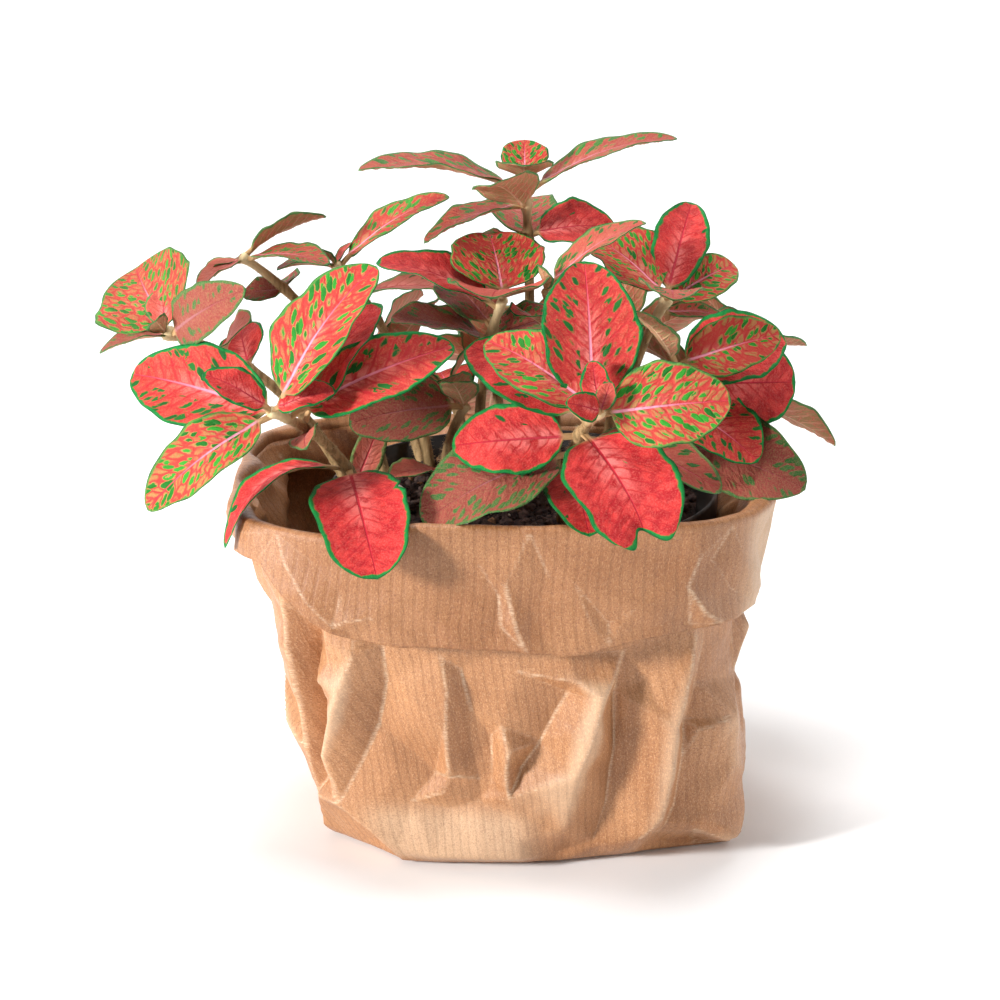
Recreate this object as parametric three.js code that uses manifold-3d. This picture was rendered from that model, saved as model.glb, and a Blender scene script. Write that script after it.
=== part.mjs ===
// A nerve plant in a nursery pot, standing in a kraft paper bag whose top is folded down as a cuff.
// Millimetres, +Z up, front of the bag towards -Y. The origin is the middle of the bag's flat base.
import * as THREE from "three";
import { mergeVertices } from "three/addons/utils/BufferGeometryUtils.js";
import Module from "manifold-3d";

const wasm = await Module();
wasm.setup();

// Driving dimensions
const PAPER = 0.9; // wall of the bag, several times thicker than paper
const CUFF_GAP = 1.2; // air between the wall and the cuff just under the rim
const BASE_MARGIN = 0.84; // share of the base that lies flat
const POT_CENTRE = [-4, 0];
const POT_HEIGHT = 85;
const POT_FOOT_RADIUS = 34;
const POT_TOP_RADIUS = 45;
const POT_LIP_RADIUS = 48.5;
const POT_LIP_HEIGHT = 8;
const POT_WALL = 1.2;
const DRAIN_HOLE_RADIUS = 4;
const DRAIN_HOLE_RING = 22;
const CLEARANCE = 0.35; // gap wherever one piece stands in or on another
const SOIL_TOP = 84;
const SOIL_BOTTOM = PAPER + CLEARANCE + POT_WALL + CLEARANCE;
const STEM_RADIUS = 1.6;
const STEM_TIP_RADIUS = 1;
const STEM_DEPTH = 12; // how deep a stem goes into the soil
const BLADE = 0.75; // thickness of a leaf
const PETIOLE_SHARE = 0.12; // share of a leaf's length that is stalk
const PETIOLE_HALF_WIDTH = 0.8;
const CUP = 0.2; // how far a leaf's edges rise above its midrib, as a share of its half width
const WAVE = 0.09; // height of the waves along a leaf's edge, as a share of its half width
const ARCH = 0.09; // the arch of a leaf that names none

// The bag's plan at a few heights: height, centre x, half width, half depth, and the power of its
// corners, where 2 is an ellipse and a higher power is boxier
const BAG_PLAN = [
  [0, -1.5, 50, 38, 7],
  [12, -2.5, 52.5, 42, 5.5],
  [38, -6, 55, 48, 4.6],
  [69, -10.5, 58, 52, 4],
  [94, -9.5, 65, 55, 3.6],
];

// Where the wall turns over into its cuff: run, height. The run is the distance round the bag from the
// middle of its front, positive to the right.
const RIM = [
  [-180, 88],
  [-110, 89],
  [-60, 90.5],
  [-36, 91.5],
  [-16, 94],
  [30, 94],
  [60, 93],
  [90, 90],
  [180, 88],
];
// Corners of the base that are folded away: a point of the cut, its outward direction, and the height
// where the cut ends
const CORNER_CUTS = [
  { at: [-41, -30], out: [-0.71, -0.71], top: 21 },
  { at: [15, -34.5], out: [0.24, -0.97], top: 16 },
];
const CUT_DEPTH = 14;

// Creases of the wall, as tents over a line: from, to, rise and reach. A place is [run, height].
const WALL_FOLDS = [
  { from: [-19, 62], to: [-20, 22], rise: 1.6, reach: 12 },
  { from: [-32, 66], to: [-44, 33], rise: 3.6, reach: 9 },
  { from: [-24, 60], to: [-36, 40], rise: -2.4, reach: 9 },
  { from: [22, 52], to: [14, 10], rise: 3.4, reach: 10 },
  { from: [18, 58], to: [-2, 22], rise: -2.6, reach: 10 },
  { from: [46, 64], to: [40, 14], rise: 3.6, reach: 9 },
  { from: [30, 44], to: [28, 20], rise: -2.4, reach: 10 },
  { from: [56, 62], to: [50, 20], rise: -3, reach: 8 },
  { from: [64, 32], to: [60, 6], rise: 5, reach: 12 },
  { from: [-46, 21], to: [2, 21], rise: -1.3, reach: 8 },
];
// Sides and back of the bag: creases drawn at random
const OTHER_FOLDS = { count: 18, seed: 7, fromRun: 70, toRun: 282, foot: 6, tall: 30, rise: 3, reach: 14 };

const BAG_STEPS = 44; // corners of the bag's plan
const BAG_ROUND = 346; // way round the bag

// Lower edge of the cuff: run, height, and how far it stands off the wall
const CUFF_EDGE = [
  [-180, 64, 4],
  [-120, 67, 3],
  [-92, 71, 3],
  [-78, 75, 3.5],
  [-69, 76, 3.5],
  [-58, 70.5, 4.5],
  [-44, 65.5, 5],
  [-26, 63.5, 5],
  [-18, 62, 5],
  [5, 62.5, 4],
  [15, 61, 4],
  [45, 64, 4],
  [60, 65, 4.5],
  [80, 62, 3],
  [120, 66, 4],
  [180, 64, 4],
];
const CUFF_FOLDS = { count: 22, seed: 3, fromRun: -170, toRun: 170, foot: 60, tall: 26, rise: 1.3, reach: 8 };

// Every shoot: where it stands in the soil, the point its stem bends towards, its top, and the way its
// top looks. Then its leaves, as [down the stem, turn, open, length, width, roll, arch]: turn is round
// the axis from the right, anticlockwise seen from above, open is away from the axis, and arch is how far
// the middle rises above the line from foot to tip, as a share of the length.
const SHOOTS = [
  {
    name: "shoot_front_left",
    root: [-40, -18],
    bend: [-42, -24, 104],
    top: [-63, -48, 119],
    axis: [-0.45, -0.62, 0.64],
    leaves: [
      [0, 150, 45, 18, 10, 25],
      [0, 10, 100, 16, 10, -15],
      [2, -145, 80, 37, 18, 0],
      [2, 46, 83, 41, 23, -5],
      [6, 155, 80, 44, 21, 0],
      [6, 22, 105, 42, 17, 12],
      [33, -68, 74, 42, 22, -26, 0.12],
      [33, -144, 72, 35, 13, 30, 0.25],
      [12, 50, 85, 34, 22, -15],
      [15, -66, 50, 15, 8, 0],
    ],
  },
  {
    name: "shoot_far_left",
    root: [-43, 2],
    bend: [-56, 0, 116],
    top: [-91, -14, 129],
    axis: [-0.5, -0.35, 0.75],
    leaves: [
      [1, 108, 74, 25, 27, 0],
      [2, -28, 70, 38, 13, 48],
      [0, 85, 75, 14, 9, 15],
      [0, -60, 40, 10, 6, 0],
      [3, -163, 64, 19, 11, 18],
      [24, 100, 85, 17, 13, 0],
      [16, -21, 60, 18, 12, 0],
      [66, 12, 52, 25, 8, 80],
    ],
  },
  {
    name: "shoot_back_left",
    root: [-38, 20],
    bend: [-44, 20, 120],
    top: [-74, 10, 142],
    axis: [-0.3, 0.1, 0.95],
    leaves: [
      [0, 11, 82, 23, 12, -20],
      [1, -34, 104, 25, 13, 0],
      [1, -164, 100, 14, 12, -10],
      [1, 146, 100, 12, 9, 0],
      [14, 175, 80, 11, 8, -40],
      [14, 110, 95, 24, 15, 0],
      [30, -107, 95, 22, 12, 30],
    ],
  },
  {
    name: "shoot_mid_left",
    root: [-27, 26],
    bend: [-30, 26, 112],
    top: [-51.5, 20, 138],
    axis: [-0.1, 0.1, 0.98],
    leaves: [
      [1, 0, 63, 33, 13, 22],
      [1, -162, 84, 16, 11, 0],
      [0, 30, 45, 7, 4, 0],
      [0, -150, 45, 7, 4, 0],
      [10, -5, 95, 26, 12, 10],
      [18, 160, 92, 16, 12, 0],
    ],
  },
  {
    name: "shoot_centre",
    root: [-14, 4],
    bend: [-18, 4, 112],
    top: [-9, -4, 135],
    axis: [0.05, -0.15, 0.98],
    leaves: [
      [0, 102, 64, 22, 24, 0],
      [0, -98, 67, 24, 24, 5],
      [9, 124, 77, 22, 18, 0],
      [3, 176, 72, 32, 20, 0],
      [12, 25, 84, 24, 17, 0],
      [12, -165, 75, 26, 17, 0],
    ],
  },
  {
    name: "shoot_middle",
    root: [3, -2],
    bend: [5, -2, 112],
    top: [1, -12, 139],
    axis: [0.1, -0.1, 0.98],
    leaves: [
      [0, 14, 52, 29, 15, -6],
      [0, -140, 25, 8, 5, 0],
      [12, -125, 62, 19, 13, 0],
    ],
  },
  {
    name: "shoot_top",
    root: [-4, 20],
    bend: [-1, 22, 125],
    top: [-4, 14, 161],
    axis: [0, 0, 1],
    leaves: [
      [0, 90, 38, 11, 12, 0],
      [0, -92, 62, 12, 14, 0],
      [4, -172, 80, 42, 20, 0],
      [4, 8, 71, 40, 13, 5],
      [7, -170, 108, 27, 16, 0],
      [8, -112, 66, 26, 16, 20],
      [15, 2, 86, 22, 18, 25],
      [17, 95, 80, 30, 18, 0],
      [19, 178, 85, 16, 15, 0],
    ],
  },
  {
    name: "shoot_right",
    root: [16, 12],
    bend: [20, 12, 112],
    top: [31, 0, 134],
    axis: [0.2, -0.1, 0.97],
    leaves: [
      [0, 160, 68, 26, 24, -14],
      [1, 81, 55, 32, 14, 0],
      [2, 45, 72, 26, 13, 25],
      [0, -94, 71, 27, 16, 5],
      [5, 25, 92, 20, 6, 20],
    ],
  },
  {
    name: "shoot_far_right",
    root: [25, -4],
    bend: [30, -4, 104],
    top: [32, -21, 123],
    axis: [0.5, -0.45, 0.7],
    leaves: [
      [0, -166, 60, 31, 10, 45],
      [0, 14, 46, 26, 14, 20],
      [4, 28, 62, 30, 20, 0],
      [8, 12, 70, 32, 24, 32],
      [14, -46, 68, 28, 20, 17],
      [26, -42, 54, 41, 23, 34],
    ],
  },
  {
    name: "shoot_front_right",
    root: [5, -20],
    bend: [4, -30, 108],
    top: [13, -55, 121],
    axis: [0.1, -0.75, 0.65],
    leaves: [
      [0, 100, 75, 12, 7, -15],
      [0, 70, 42, 8, 5, 0],
      [0, -169, 49, 12, 7, -19],
      [2, 142, 98, 32, 19, 8],
      [3, 3, 76, 31, 20, 15],
      [6, 94, 76, 37, 23, 0],
      [9, 139, 106, 37, 18, 0],
      [15, -66, 72, 38, 25, 0],
      [17, 181, 104, 30, 17, -15],
      [18, -28, 74, 37, 17, -25],
      [32, -84, 53, 30, 17, 0],
      [25, -151, 90, 40, 26, 25],
    ],
  },
  {
    name: "shoot_low",
    root: [-24, -6],
    bend: [-26, -4, 98],
    top: [-18, -4, 108],
    axis: [-0.2, -0.3, 0.9],
    leaves: [
      [0, -170, 82, 29, 20, -25],
      [0, -102, 24, 12, 10, 0],
      [18, -135, 60, 18, 11, 0],
    ],
  },
];

// Shoots of the back half, whose leaves follow one rule: pairs set crosswise, older and wider apart
// further down. turn is the direction of the first pair.
const BACK_SHOOTS = [
  { name: "shoot_back_1", root: [-28, 30], bend: [-34, 38, 102], top: [-49, 48, 110], turn: 120, pairs: 3 },
  { name: "shoot_back_2", root: [-8, 38], bend: [-10, 44, 100], top: [-14, 58, 108], turn: 100, pairs: 3 },
  { name: "shoot_back_3", root: [16, 32], bend: [20, 38, 104], top: [25, 54, 114], turn: 70, pairs: 3 },
  { name: "shoot_back_4", root: [32, 14], bend: [42, 20, 104], top: [52, 30, 112], turn: 0, pairs: 3 },
  { name: "shoot_back_5", root: [-14, 22], bend: [-20, 26, 98], top: [-24, 30, 104], turn: 0, pairs: 2 },
];
const BACK_LEAF = { first: 17, growth: 8, apart: 7, open: 52, opening: 15, width: 0.58 };

const COLOURS = {
  paper: { color: 0xc6986c, roughness: 0.8, metalness: 0 },
  pot: { color: 0x2a2523, roughness: 0.55, metalness: 0 },
  soil: { color: 0x241c1a, roughness: 0.95, metalness: 0 },
  foliage: { color: 0xd9484f, roughness: 0.6, metalness: 0 },
};

// A repeatable stream of numbers from 0 to 1
function randomStream(seed) {
  let state = seed * 7919 + 17;
  return () => {
    state = (state * 16807) % 2147483647;
    return state / 2147483647;
  };
}

// The value at x of a line through rows [x, ...values], column by column
function along(rows, x, column) {
  const next = rows.findIndex((row) => row[0] >= x);
  if (next === 0) return rows[0][column];
  if (next < 0) return rows[rows.length - 1][column];
  const [a, b] = [rows[next - 1], rows[next]];
  return THREE.MathUtils.mapLinear(x, a[0], b[0], a[column], b[column]);
}

function geometryOf(points, triangles) {
  const positions = new Float32Array(points.flatMap((p) => p.toArray()));
  const made = new THREE.BufferGeometry();
  made.setAttribute("position", new THREE.BufferAttribute(positions, 3));
  made.setIndex(triangles);
  const merged = mergeVertices(made, 1e-4);
  const index = [...merged.index.array];
  const kept = [];
  for (let i = 0; i < index.length; i += 3) {
    const [a, b, c] = index.slice(i, i + 3);
    if (a !== b && b !== c && c !== a) kept.push(a, b, c);
  }
  merged.setIndex(kept);
  return merged;
}

// A closed body from rings of points, from one pole to the other. Faces point out when the rings run
// anticlockwise seen from the last pole. Where the rings come down again, inside a wall or under the
// cuff, the squares are split the other way, so that both faces of the paper have the same creases.
function ringBody(firstPole, rings, lastPole) {
  const steps = rings[0].length;
  const points = [firstPole, ...rings.flat(), lastPole];
  const last = points.length - 1;
  const at = (ring, step) => 1 + ring * steps + (step % steps);
  const triangles = [];
  for (let step = 0; step < steps; step++) {
    triangles.push(0, at(0, step + 1), at(0, step));
    triangles.push(last, at(rings.length - 1, step), at(rings.length - 1, step + 1));
    for (let ring = 0; ring + 1 < rings.length; ring++) {
      const [a, b] = [at(ring, step), at(ring, step + 1)];
      const [c, d] = [at(ring + 1, step), at(ring + 1, step + 1)];
      const falling = rings[ring + 1][step].z < rings[ring][step].z - 1;
      triangles.push(...(falling ? [a, b, c, b, d, c] : [a, b, d, a, d, c]));
    }
  }
  return geometryOf(points, triangles);
}

function solidOf(geometry) {
  const vertProperties = new Float32Array(geometry.attributes.position.array);
  const triVerts = new Uint32Array(geometry.index.array);
  return new wasm.Manifold(new wasm.Mesh({ numProp: 3, vertProperties, triVerts }));
}

function geometryFrom(solid) {
  const { vertProperties, triVerts } = solid.getMesh();
  const made = new THREE.BufferGeometry();
  made.setAttribute("position", new THREE.BufferAttribute(vertProperties, 3));
  made.setIndex([...triVerts]);
  return made;
}

function namedMesh(name, geometry, colour) {
  const mesh = new THREE.Mesh(geometry, new THREE.MeshStandardMaterial(colour));
  mesh.name = name;
  return mesh;
}

// The bag

// The direction that looks at each step of an even walk round the bag's plan
function evenDirections() {
  const fine = 1440;
  const walk = [[0, 0]];
  let before = planPoint(0, 50, 0);
  for (let i = 1; i <= fine; i++) {
    const angle = (i / fine) * 2 * Math.PI;
    const here = planPoint(angle, 50, 0);
    walk.push([walk[i - 1][0] + here.distanceTo(before), angle]);
    before = here;
  }
  const round = walk[fine][0];
  return (share) => along(walk, (((share % 1) + 1) % 1) * round, 1);
}

// A point of the bag's outline at a height, moved out by an offset. The angle is from the front.
function planPoint(angle, height, offset) {
  const [wide, deep, power] = [2, 3, 4].map((column) => along(BAG_PLAN, height, column));
  const [s, c] = [Math.sin(angle), Math.cos(angle)];
  const sum = Math.abs(s / wide) ** power + Math.abs(c / deep) ** power;
  const radius = sum ** (-1 / power) + offset;
  const point = new THREE.Vector3(along(BAG_PLAN, height, 1) + radius * s, -radius * c, height);
  for (const { at, out, top } of CORNER_CUTS) {
    const beyond = (point.x - at[0]) * out[0] + (point.y - at[1]) * out[1] - offset;
    const cut = Math.max(0, beyond - (CUT_DEPTH * height) / top);
    point.add(new THREE.Vector3(-cut * out[0], -cut * out[1], 0));
  }
  return point;
}

function tent(run, height, { from, to, rise, reach }) {
  const [dx, dz] = [to[0] - from[0], to[1] - from[1]];
  const near = ((run - from[0]) * dx + (height - from[1]) * dz) / (dx * dx + dz * dz);
  const share = THREE.MathUtils.clamp(near, 0, 1);
  const away = Math.hypot(run - from[0] - share * dx, height - from[1] - share * dz);
  return rise * Math.max(0, 1 - away / reach);
}

function randomFolds({ count, seed, fromRun, toRun, foot, tall, rise, reach }) {
  const random = randomStream(seed);
  return Array.from({ length: count }, (_, i) => {
    const run = fromRun + random() * (toRun - fromRun);
    const low = foot + random() * tall;
    const lean = (random() - 0.5) * 24;
    return {
      from: [run, low],
      to: [run + lean, low + (0.5 + random()) * tall],
      rise: (i % 2 ? -0.6 : 1) * rise * (0.5 + 0.5 * random()),
      reach: reach * (0.6 + 0.5 * random()),
    };
  });
}

// How far creases push the paper out at a place, counted the whole way round
function creases(folds, run, height) {
  const turns = [run - BAG_ROUND, run, run + BAG_ROUND];
  return folds.reduce((sum, fold) => sum + turns.reduce((one, at) => one + tent(at, height, fold), 0), 0);
}

// The same for the wall, whose creases fade out at the base and under the cuff
function wallCreases(folds, run, height) {
  const fade = THREE.MathUtils.clamp(Math.min(height / 10, (78 - height) / 18), 0, 1);
  return THREE.MathUtils.clamp(creases(folds, run, height), -3, 4.5) * fade;
}

function bag() {
  const direction = evenDirections();
  const folds = [...WALL_FOLDS, ...randomFolds(OTHER_FOLDS)];
  const cuffFolds = randomFolds(CUFF_FOLDS);
  const ring = (place) =>
    Array.from({ length: BAG_STEPS }, (_, step) => {
      const share = step / BAG_STEPS;
      const run = (share > 0.5 ? share - 1 : share) * BAG_ROUND;
      return place(direction(share), run);
    });
  const wall = (height, inset) =>
    ring((angle, run) => planPoint(angle, height, wallCreases(folds, run, height) - inset));
  const rim = (drop, offset) => ring((angle, run) => planPoint(angle, along(RIM, run, 1) - drop, offset));
  const base = (share, height, inset) =>
    ring((angle) => {
      const edge = planPoint(angle, 0, -inset);
      return new THREE.Vector3(edge.x * share, edge.y * share, height);
    });
  // One level of the cuff, from 0 at the rim to 1 at its lower edge. It lies on the wall's creases.
  const cuff = (level, inset) =>
    ring((angle, run) => {
      const off = THREE.MathUtils.lerp(CUFF_GAP, along(CUFF_EDGE, run, 2), level);
      const height = THREE.MathUtils.lerp(along(RIM, run, 1) - 2, along(CUFF_EDGE, run, 1), level);
      const under = Math.max(0, wallCreases(folds, run, height));
      const own = Math.max(-0.4, creases(cuffFolds, run, height)) * level;
      return planPoint(angle, height, PAPER + off + under + own - inset);
    });
  const heights = [2, 10, 20, 31, 43, 55, 67, 79];
  const rings = [
    base(0.45, 0, 0),
    base(BASE_MARGIN, 0, 0),
    base(0.98, 0.5, 0),
    ...heights.map((height) => wall(height, 0)),
    rim(4, 0),
    ...[0.1, 0.5, 1].map((level) => cuff(level, PAPER)),
    ...[1, 0.66, 0.33, 0].map((level) => cuff(level, 0)),
    rim(0, 1.2),
    rim(0.6, -PAPER),
    ...[79, 67, 55, 43, 31, 20, 10].map((height) => wall(height, PAPER)),
    base(0.94, PAPER + 0.6, PAPER),
    base(BASE_MARGIN, PAPER, PAPER),
  ];
  const solid = ringBody(new THREE.Vector3(0, 0, 0), rings, new THREE.Vector3(0, 0, PAPER));
  return namedMesh("paper_bag", solid, COLOURS.paper);
}

// The nursery pot and its soil

const POT_STEPS = 32;

function potRing(radius, height) {
  return Array.from({ length: POT_STEPS }, (_, step) => {
    const angle = (step / POT_STEPS) * 2 * Math.PI;
    const [x, y] = [Math.sin(angle) * radius, -Math.cos(angle) * radius];
    return new THREE.Vector3(POT_CENTRE[0] + x, POT_CENTRE[1] + y, height);
  });
}

function potRadius(height) {
  const top = POT_HEIGHT - POT_LIP_HEIGHT;
  return THREE.MathUtils.lerp(POT_FOOT_RADIUS, POT_TOP_RADIUS, height / top);
}

function pot() {
  const foot = PAPER + CLEARANCE;
  const lipFoot = POT_HEIGHT - POT_LIP_HEIGHT;
  const rings = [
    potRing(POT_FOOT_RADIUS - 1, foot),
    potRing(POT_FOOT_RADIUS, foot + 1),
    potRing(POT_TOP_RADIUS, foot + lipFoot),
    potRing(POT_LIP_RADIUS - 0.6, foot + lipFoot),
    potRing(POT_LIP_RADIUS, foot + POT_HEIGHT),
    potRing(POT_LIP_RADIUS - POT_WALL, foot + POT_HEIGHT),
    potRing(POT_LIP_RADIUS - POT_WALL - 0.6, foot + lipFoot + POT_WALL),
    potRing(POT_TOP_RADIUS - POT_WALL, foot + lipFoot + POT_WALL),
    potRing(POT_FOOT_RADIUS - POT_WALL, foot + POT_WALL),
  ];
  const middle = (height) => new THREE.Vector3(POT_CENTRE[0], POT_CENTRE[1], height);
  let solid = solidOf(ringBody(middle(foot), rings, middle(foot + POT_WALL)));
  for (let hole = 0; hole < 4; hole++) {
    const drill = new THREE.CylinderGeometry(DRAIN_HOLE_RADIUS, DRAIN_HOLE_RADIUS, 4, 8);
    drill.deleteAttribute("normal");
    drill.deleteAttribute("uv");
    drill.rotateX(Math.PI / 2);
    drill.translate(DRAIN_HOLE_RING, 0, foot);
    drill.rotateZ((hole + 0.5) * (Math.PI / 2));
    drill.translate(POT_CENTRE[0], POT_CENTRE[1], 0);
    solid = solid.subtract(solidOf(mergeVertices(drill, 1e-4)));
  }
  return namedMesh("nursery_pot", geometryFrom(solid), COLOURS.pot);
}

function soilHeight(x, y) {
  const lumps = Math.sin(x * 0.31 + 1) * Math.cos(y * 0.27) + 0.6 * Math.sin(x * 0.13 - y * 0.19 + 2);
  return SOIL_TOP - 0.0009 * (x * x + y * y) + 0.8 * lumps;
}

function soil(stemHoles) {
  const foot = PAPER + CLEARANCE;
  const inner = (height) => potRadius(height - foot) - POT_WALL - CLEARANCE - 0.1;
  const surface = (radius) =>
    potRing(radius, 0).map((p) => new THREE.Vector3(p.x, p.y, soilHeight(p.x, p.y)));
  const shoulder = foot + POT_HEIGHT - POT_LIP_HEIGHT - 1;
  const rings = [
    potRing(inner(SOIL_BOTTOM) * 0.5, SOIL_BOTTOM),
    potRing(inner(SOIL_BOTTOM), SOIL_BOTTOM),
    potRing(inner(shoulder), shoulder),
    ...[0.995, 0.72, 0.45, 0.2].map((share) => surface(inner(shoulder) * share)),
  ];
  const top = new THREE.Vector3(...POT_CENTRE, soilHeight(...POT_CENTRE));
  let solid = solidOf(ringBody(new THREE.Vector3(...POT_CENTRE, SOIL_BOTTOM), rings, top));
  for (const hole of stemHoles) solid = solid.subtract(hole);
  return namedMesh("soil", geometryFrom(solid), COLOURS.soil);
}

// The shoots

// A closed tube round a line, tapering from one radius to another
function tube(curve, from, to, steps, sides) {
  const { normals, binormals } = curve.computeFrenetFrames(steps, false);
  const rings = Array.from({ length: steps + 1 }, (_, i) => {
    const centre = curve.getPointAt(i / steps);
    const radius = THREE.MathUtils.lerp(from, to, i / steps);
    return Array.from({ length: sides }, (_, side) => {
      const angle = (side / sides) * 2 * Math.PI;
      const out = normals[i].clone().multiplyScalar(Math.cos(angle) * radius);
      return out.addScaledVector(binormals[i], Math.sin(angle) * radius).add(centre);
    });
  });
  return ringBody(curve.getPointAt(0), rings, curve.getPointAt(1));
}

// Half width of a blade from its foot to its tip, as a share of its greatest half width
function bladeShape(share) {
  return Math.sin(Math.PI * share ** 0.85) ** 0.62;
}

// A leaf: a thin arched blade on a short stalk. base, dir and up place it; side is its right.
function leafBody(base, dir, up, length, width, archShare, phase) {
  const side = dir.clone().cross(up);
  const shares = width < 12 ? [0.28, 0.72, 1] : [0.16, 0.45, 0.78, 1];
  const columns = width < 22 ? [-1, 0, 1] : [-1, -0.5, 0, 0.5, 1];
  const rows = [
    [0, PETIOLE_HALF_WIDTH, 1.4],
    [PETIOLE_SHARE, PETIOLE_HALF_WIDTH, 1.1],
    ...shares.map((share) => {
      const half = share === 1 ? 0 : (bladeShape(share) * width) / 2;
      return [PETIOLE_SHARE + share * (1 - PETIOLE_SHARE), half, BLADE];
    }),
  ];
  const point = ([share, half, thick], column, face) => {
    const arch = archShare * length * 4 * share * (1 - share);
    const wave = WAVE * half * Math.sin(share * 14 + phase + (column > 0 ? 2 : 0)) * column ** 2;
    const lift = arch + CUP * half * column ** 2 + wave + (face * thick) / 2;
    return base
      .clone()
      .addScaledVector(dir, share * length)
      .addScaledVector(side, column * half)
      .addScaledVector(up, lift);
  };
  // Each ring goes round the blade's edge: over the top from left to right, and back underneath
  const rings = rows.map((row) => [
    ...columns.map((column) => point(row, column, 1)),
    ...[...columns].reverse().map((column) => point(row, column, -1)),
  ]);
  const count = columns.length;
  const flat = rings.flat();
  const triangles = [];
  const ringSize = 2 * count;
  const at = (row, i) => row * ringSize + (i % ringSize);
  for (let row = 0; row + 1 < rows.length; row++) {
    for (let i = 0; i < ringSize; i++) {
      const [a, b, c, d] = [at(row, i), at(row, i + 1), at(row + 1, i), at(row + 1, i + 1)];
      // Both faces are split along the same diagonal, so that they stay one blade apart
      if (i < count) triangles.push(a, b, d, a, d, c);
      else triangles.push(a, b, c, b, d, c);
    }
  }
  for (const [row, flip] of [[0, true], [rows.length - 1, false]]) {
    for (let i = 0; i + 1 < count; i++) {
      const quad = [at(row, i), at(row, i + 1), at(row, ringSize - 2 - i), at(row, ringSize - 1 - i)];
      const [a, b, c, d] = flip ? quad.reverse() : quad;
      triangles.push(a, b, c, a, c, d);
    }
  }
  return solidOf(geometryOf(flat, triangles));
}

// The directions that a shoot's leaves are turned from: along its top, to the right, and back
function shootAxes(axis) {
  const ahead = new THREE.Vector3(...axis).normalize();
  const right = new THREE.Vector3(1, 0, 0).addScaledVector(ahead, -ahead.x).normalize();
  return { ahead, right, back: ahead.clone().cross(right) };
}

function stemLine({ root, bend, top }, deeper = 0) {
  const foot = new THREE.Vector3(...root, SOIL_TOP - STEM_DEPTH - deeper);
  return new THREE.QuadraticBezierCurve3(foot, new THREE.Vector3(...bend), new THREE.Vector3(...top));
}

function leafOn(shoot, line, [down, turn, open, length, width, roll, arch = ARCH], index) {
  const { ahead, right, back } = shootAxes(shoot.axis);
  const total = line.getLength();
  const base = line.getPointAt(Math.max(0, 1 - (down + 0.8) / total));
  const [t, o] = [THREE.MathUtils.degToRad(turn), THREE.MathUtils.degToRad(open)];
  const out = right.clone().multiplyScalar(Math.cos(t)).addScaledVector(back, Math.sin(t));
  const dir = out.clone().multiplyScalar(Math.sin(o)).addScaledVector(ahead, Math.cos(o));
  const up = ahead.clone().multiplyScalar(Math.sin(o)).addScaledVector(out, -Math.cos(o));
  up.applyAxisAngle(dir, THREE.MathUtils.degToRad(roll));
  return leafBody(base, dir, up, length, width, arch, index * 1.7 + shoot.name.length);
}

function stemTube(shoot, wider, deeper) {
  const line = stemLine(shoot, deeper);
  const steps = Math.ceil(stemLine(shoot).getLength() / 12);
  return solidOf(tube(line, STEM_RADIUS + wider, STEM_TIP_RADIUS + wider, steps, 6));
}

function shootSolid(shoot) {
  const line = stemLine(shoot);
  const leaves = shoot.leaves.map((leaf, index) => leafOn(shoot, line, leaf, index));
  return wasm.Manifold.union([stemTube(shoot, 0, 0), ...leaves]);
}

function backLeaves({ turn, pairs, name }) {
  const random = randomStream(name.charCodeAt(name.length - 1));
  const { first, growth, apart, open, opening, width } = BACK_LEAF;
  const leaves = [];
  for (let pair = 0; pair < pairs; pair++) {
    for (const half of [0, 180]) {
      const length = first + growth * pair + 4 * random();
      const facing = turn + 90 * pair + half + 16 * (random() - 0.5);
      const spread = open + opening * pair + 8 * random();
      leaves.push([pair * apart, facing, spread, length, length * width, 0]);
    }
  }
  return leaves;
}

function backShoot(shoot) {
  const axis = new THREE.Vector3(...shoot.top).sub(new THREE.Vector3(...shoot.bend));
  axis.z += 8;
  return { ...shoot, axis: axis.toArray(), leaves: backLeaves(shoot) };
}

const backShoots = BACK_SHOOTS.map(backShoot);

const plant = new THREE.Group();
const allShoots = [...SHOOTS, ...backShoots];
plant.add(bag());
plant.add(pot());
plant.add(soil(allShoots.map((shoot) => stemTube(shoot, 2 * CLEARANCE, CLEARANCE))));
for (const shoot of allShoots) {
  plant.add(namedMesh(shoot.name, geometryFrom(shootSolid(shoot)), COLOURS.foliage));
}

export default plant;
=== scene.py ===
import math

import bpy
import numpy as np
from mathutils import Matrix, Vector
from mathutils.geometry import delaunay_2d_cdt


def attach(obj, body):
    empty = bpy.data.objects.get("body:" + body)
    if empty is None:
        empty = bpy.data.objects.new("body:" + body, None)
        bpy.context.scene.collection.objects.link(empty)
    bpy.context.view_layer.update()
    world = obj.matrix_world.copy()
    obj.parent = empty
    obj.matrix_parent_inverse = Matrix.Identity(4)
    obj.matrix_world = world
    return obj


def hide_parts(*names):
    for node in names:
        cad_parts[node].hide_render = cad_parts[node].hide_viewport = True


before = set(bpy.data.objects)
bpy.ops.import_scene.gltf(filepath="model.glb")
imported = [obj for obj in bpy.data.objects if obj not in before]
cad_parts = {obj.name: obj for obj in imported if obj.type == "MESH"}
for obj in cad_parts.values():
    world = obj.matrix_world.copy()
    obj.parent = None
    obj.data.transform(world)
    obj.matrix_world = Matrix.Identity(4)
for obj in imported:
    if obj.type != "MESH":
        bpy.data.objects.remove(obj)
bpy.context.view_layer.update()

# The camera stands 0.7 m from the plant and looks 18 degrees down at it, as the photograph does.
camera = bpy.data.objects.new("camera", bpy.data.cameras.new("camera"))
bpy.context.scene.collection.objects.link(camera)
bpy.context.scene.camera = camera
camera.data.sensor_width = 36
camera.data.lens = 100.8
camera.data.clip_start = 0.05
camera.location = (-0.010, -0.66574, 0.29831)
camera.rotation_euler = (math.radians(72), 0, 0)

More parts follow.
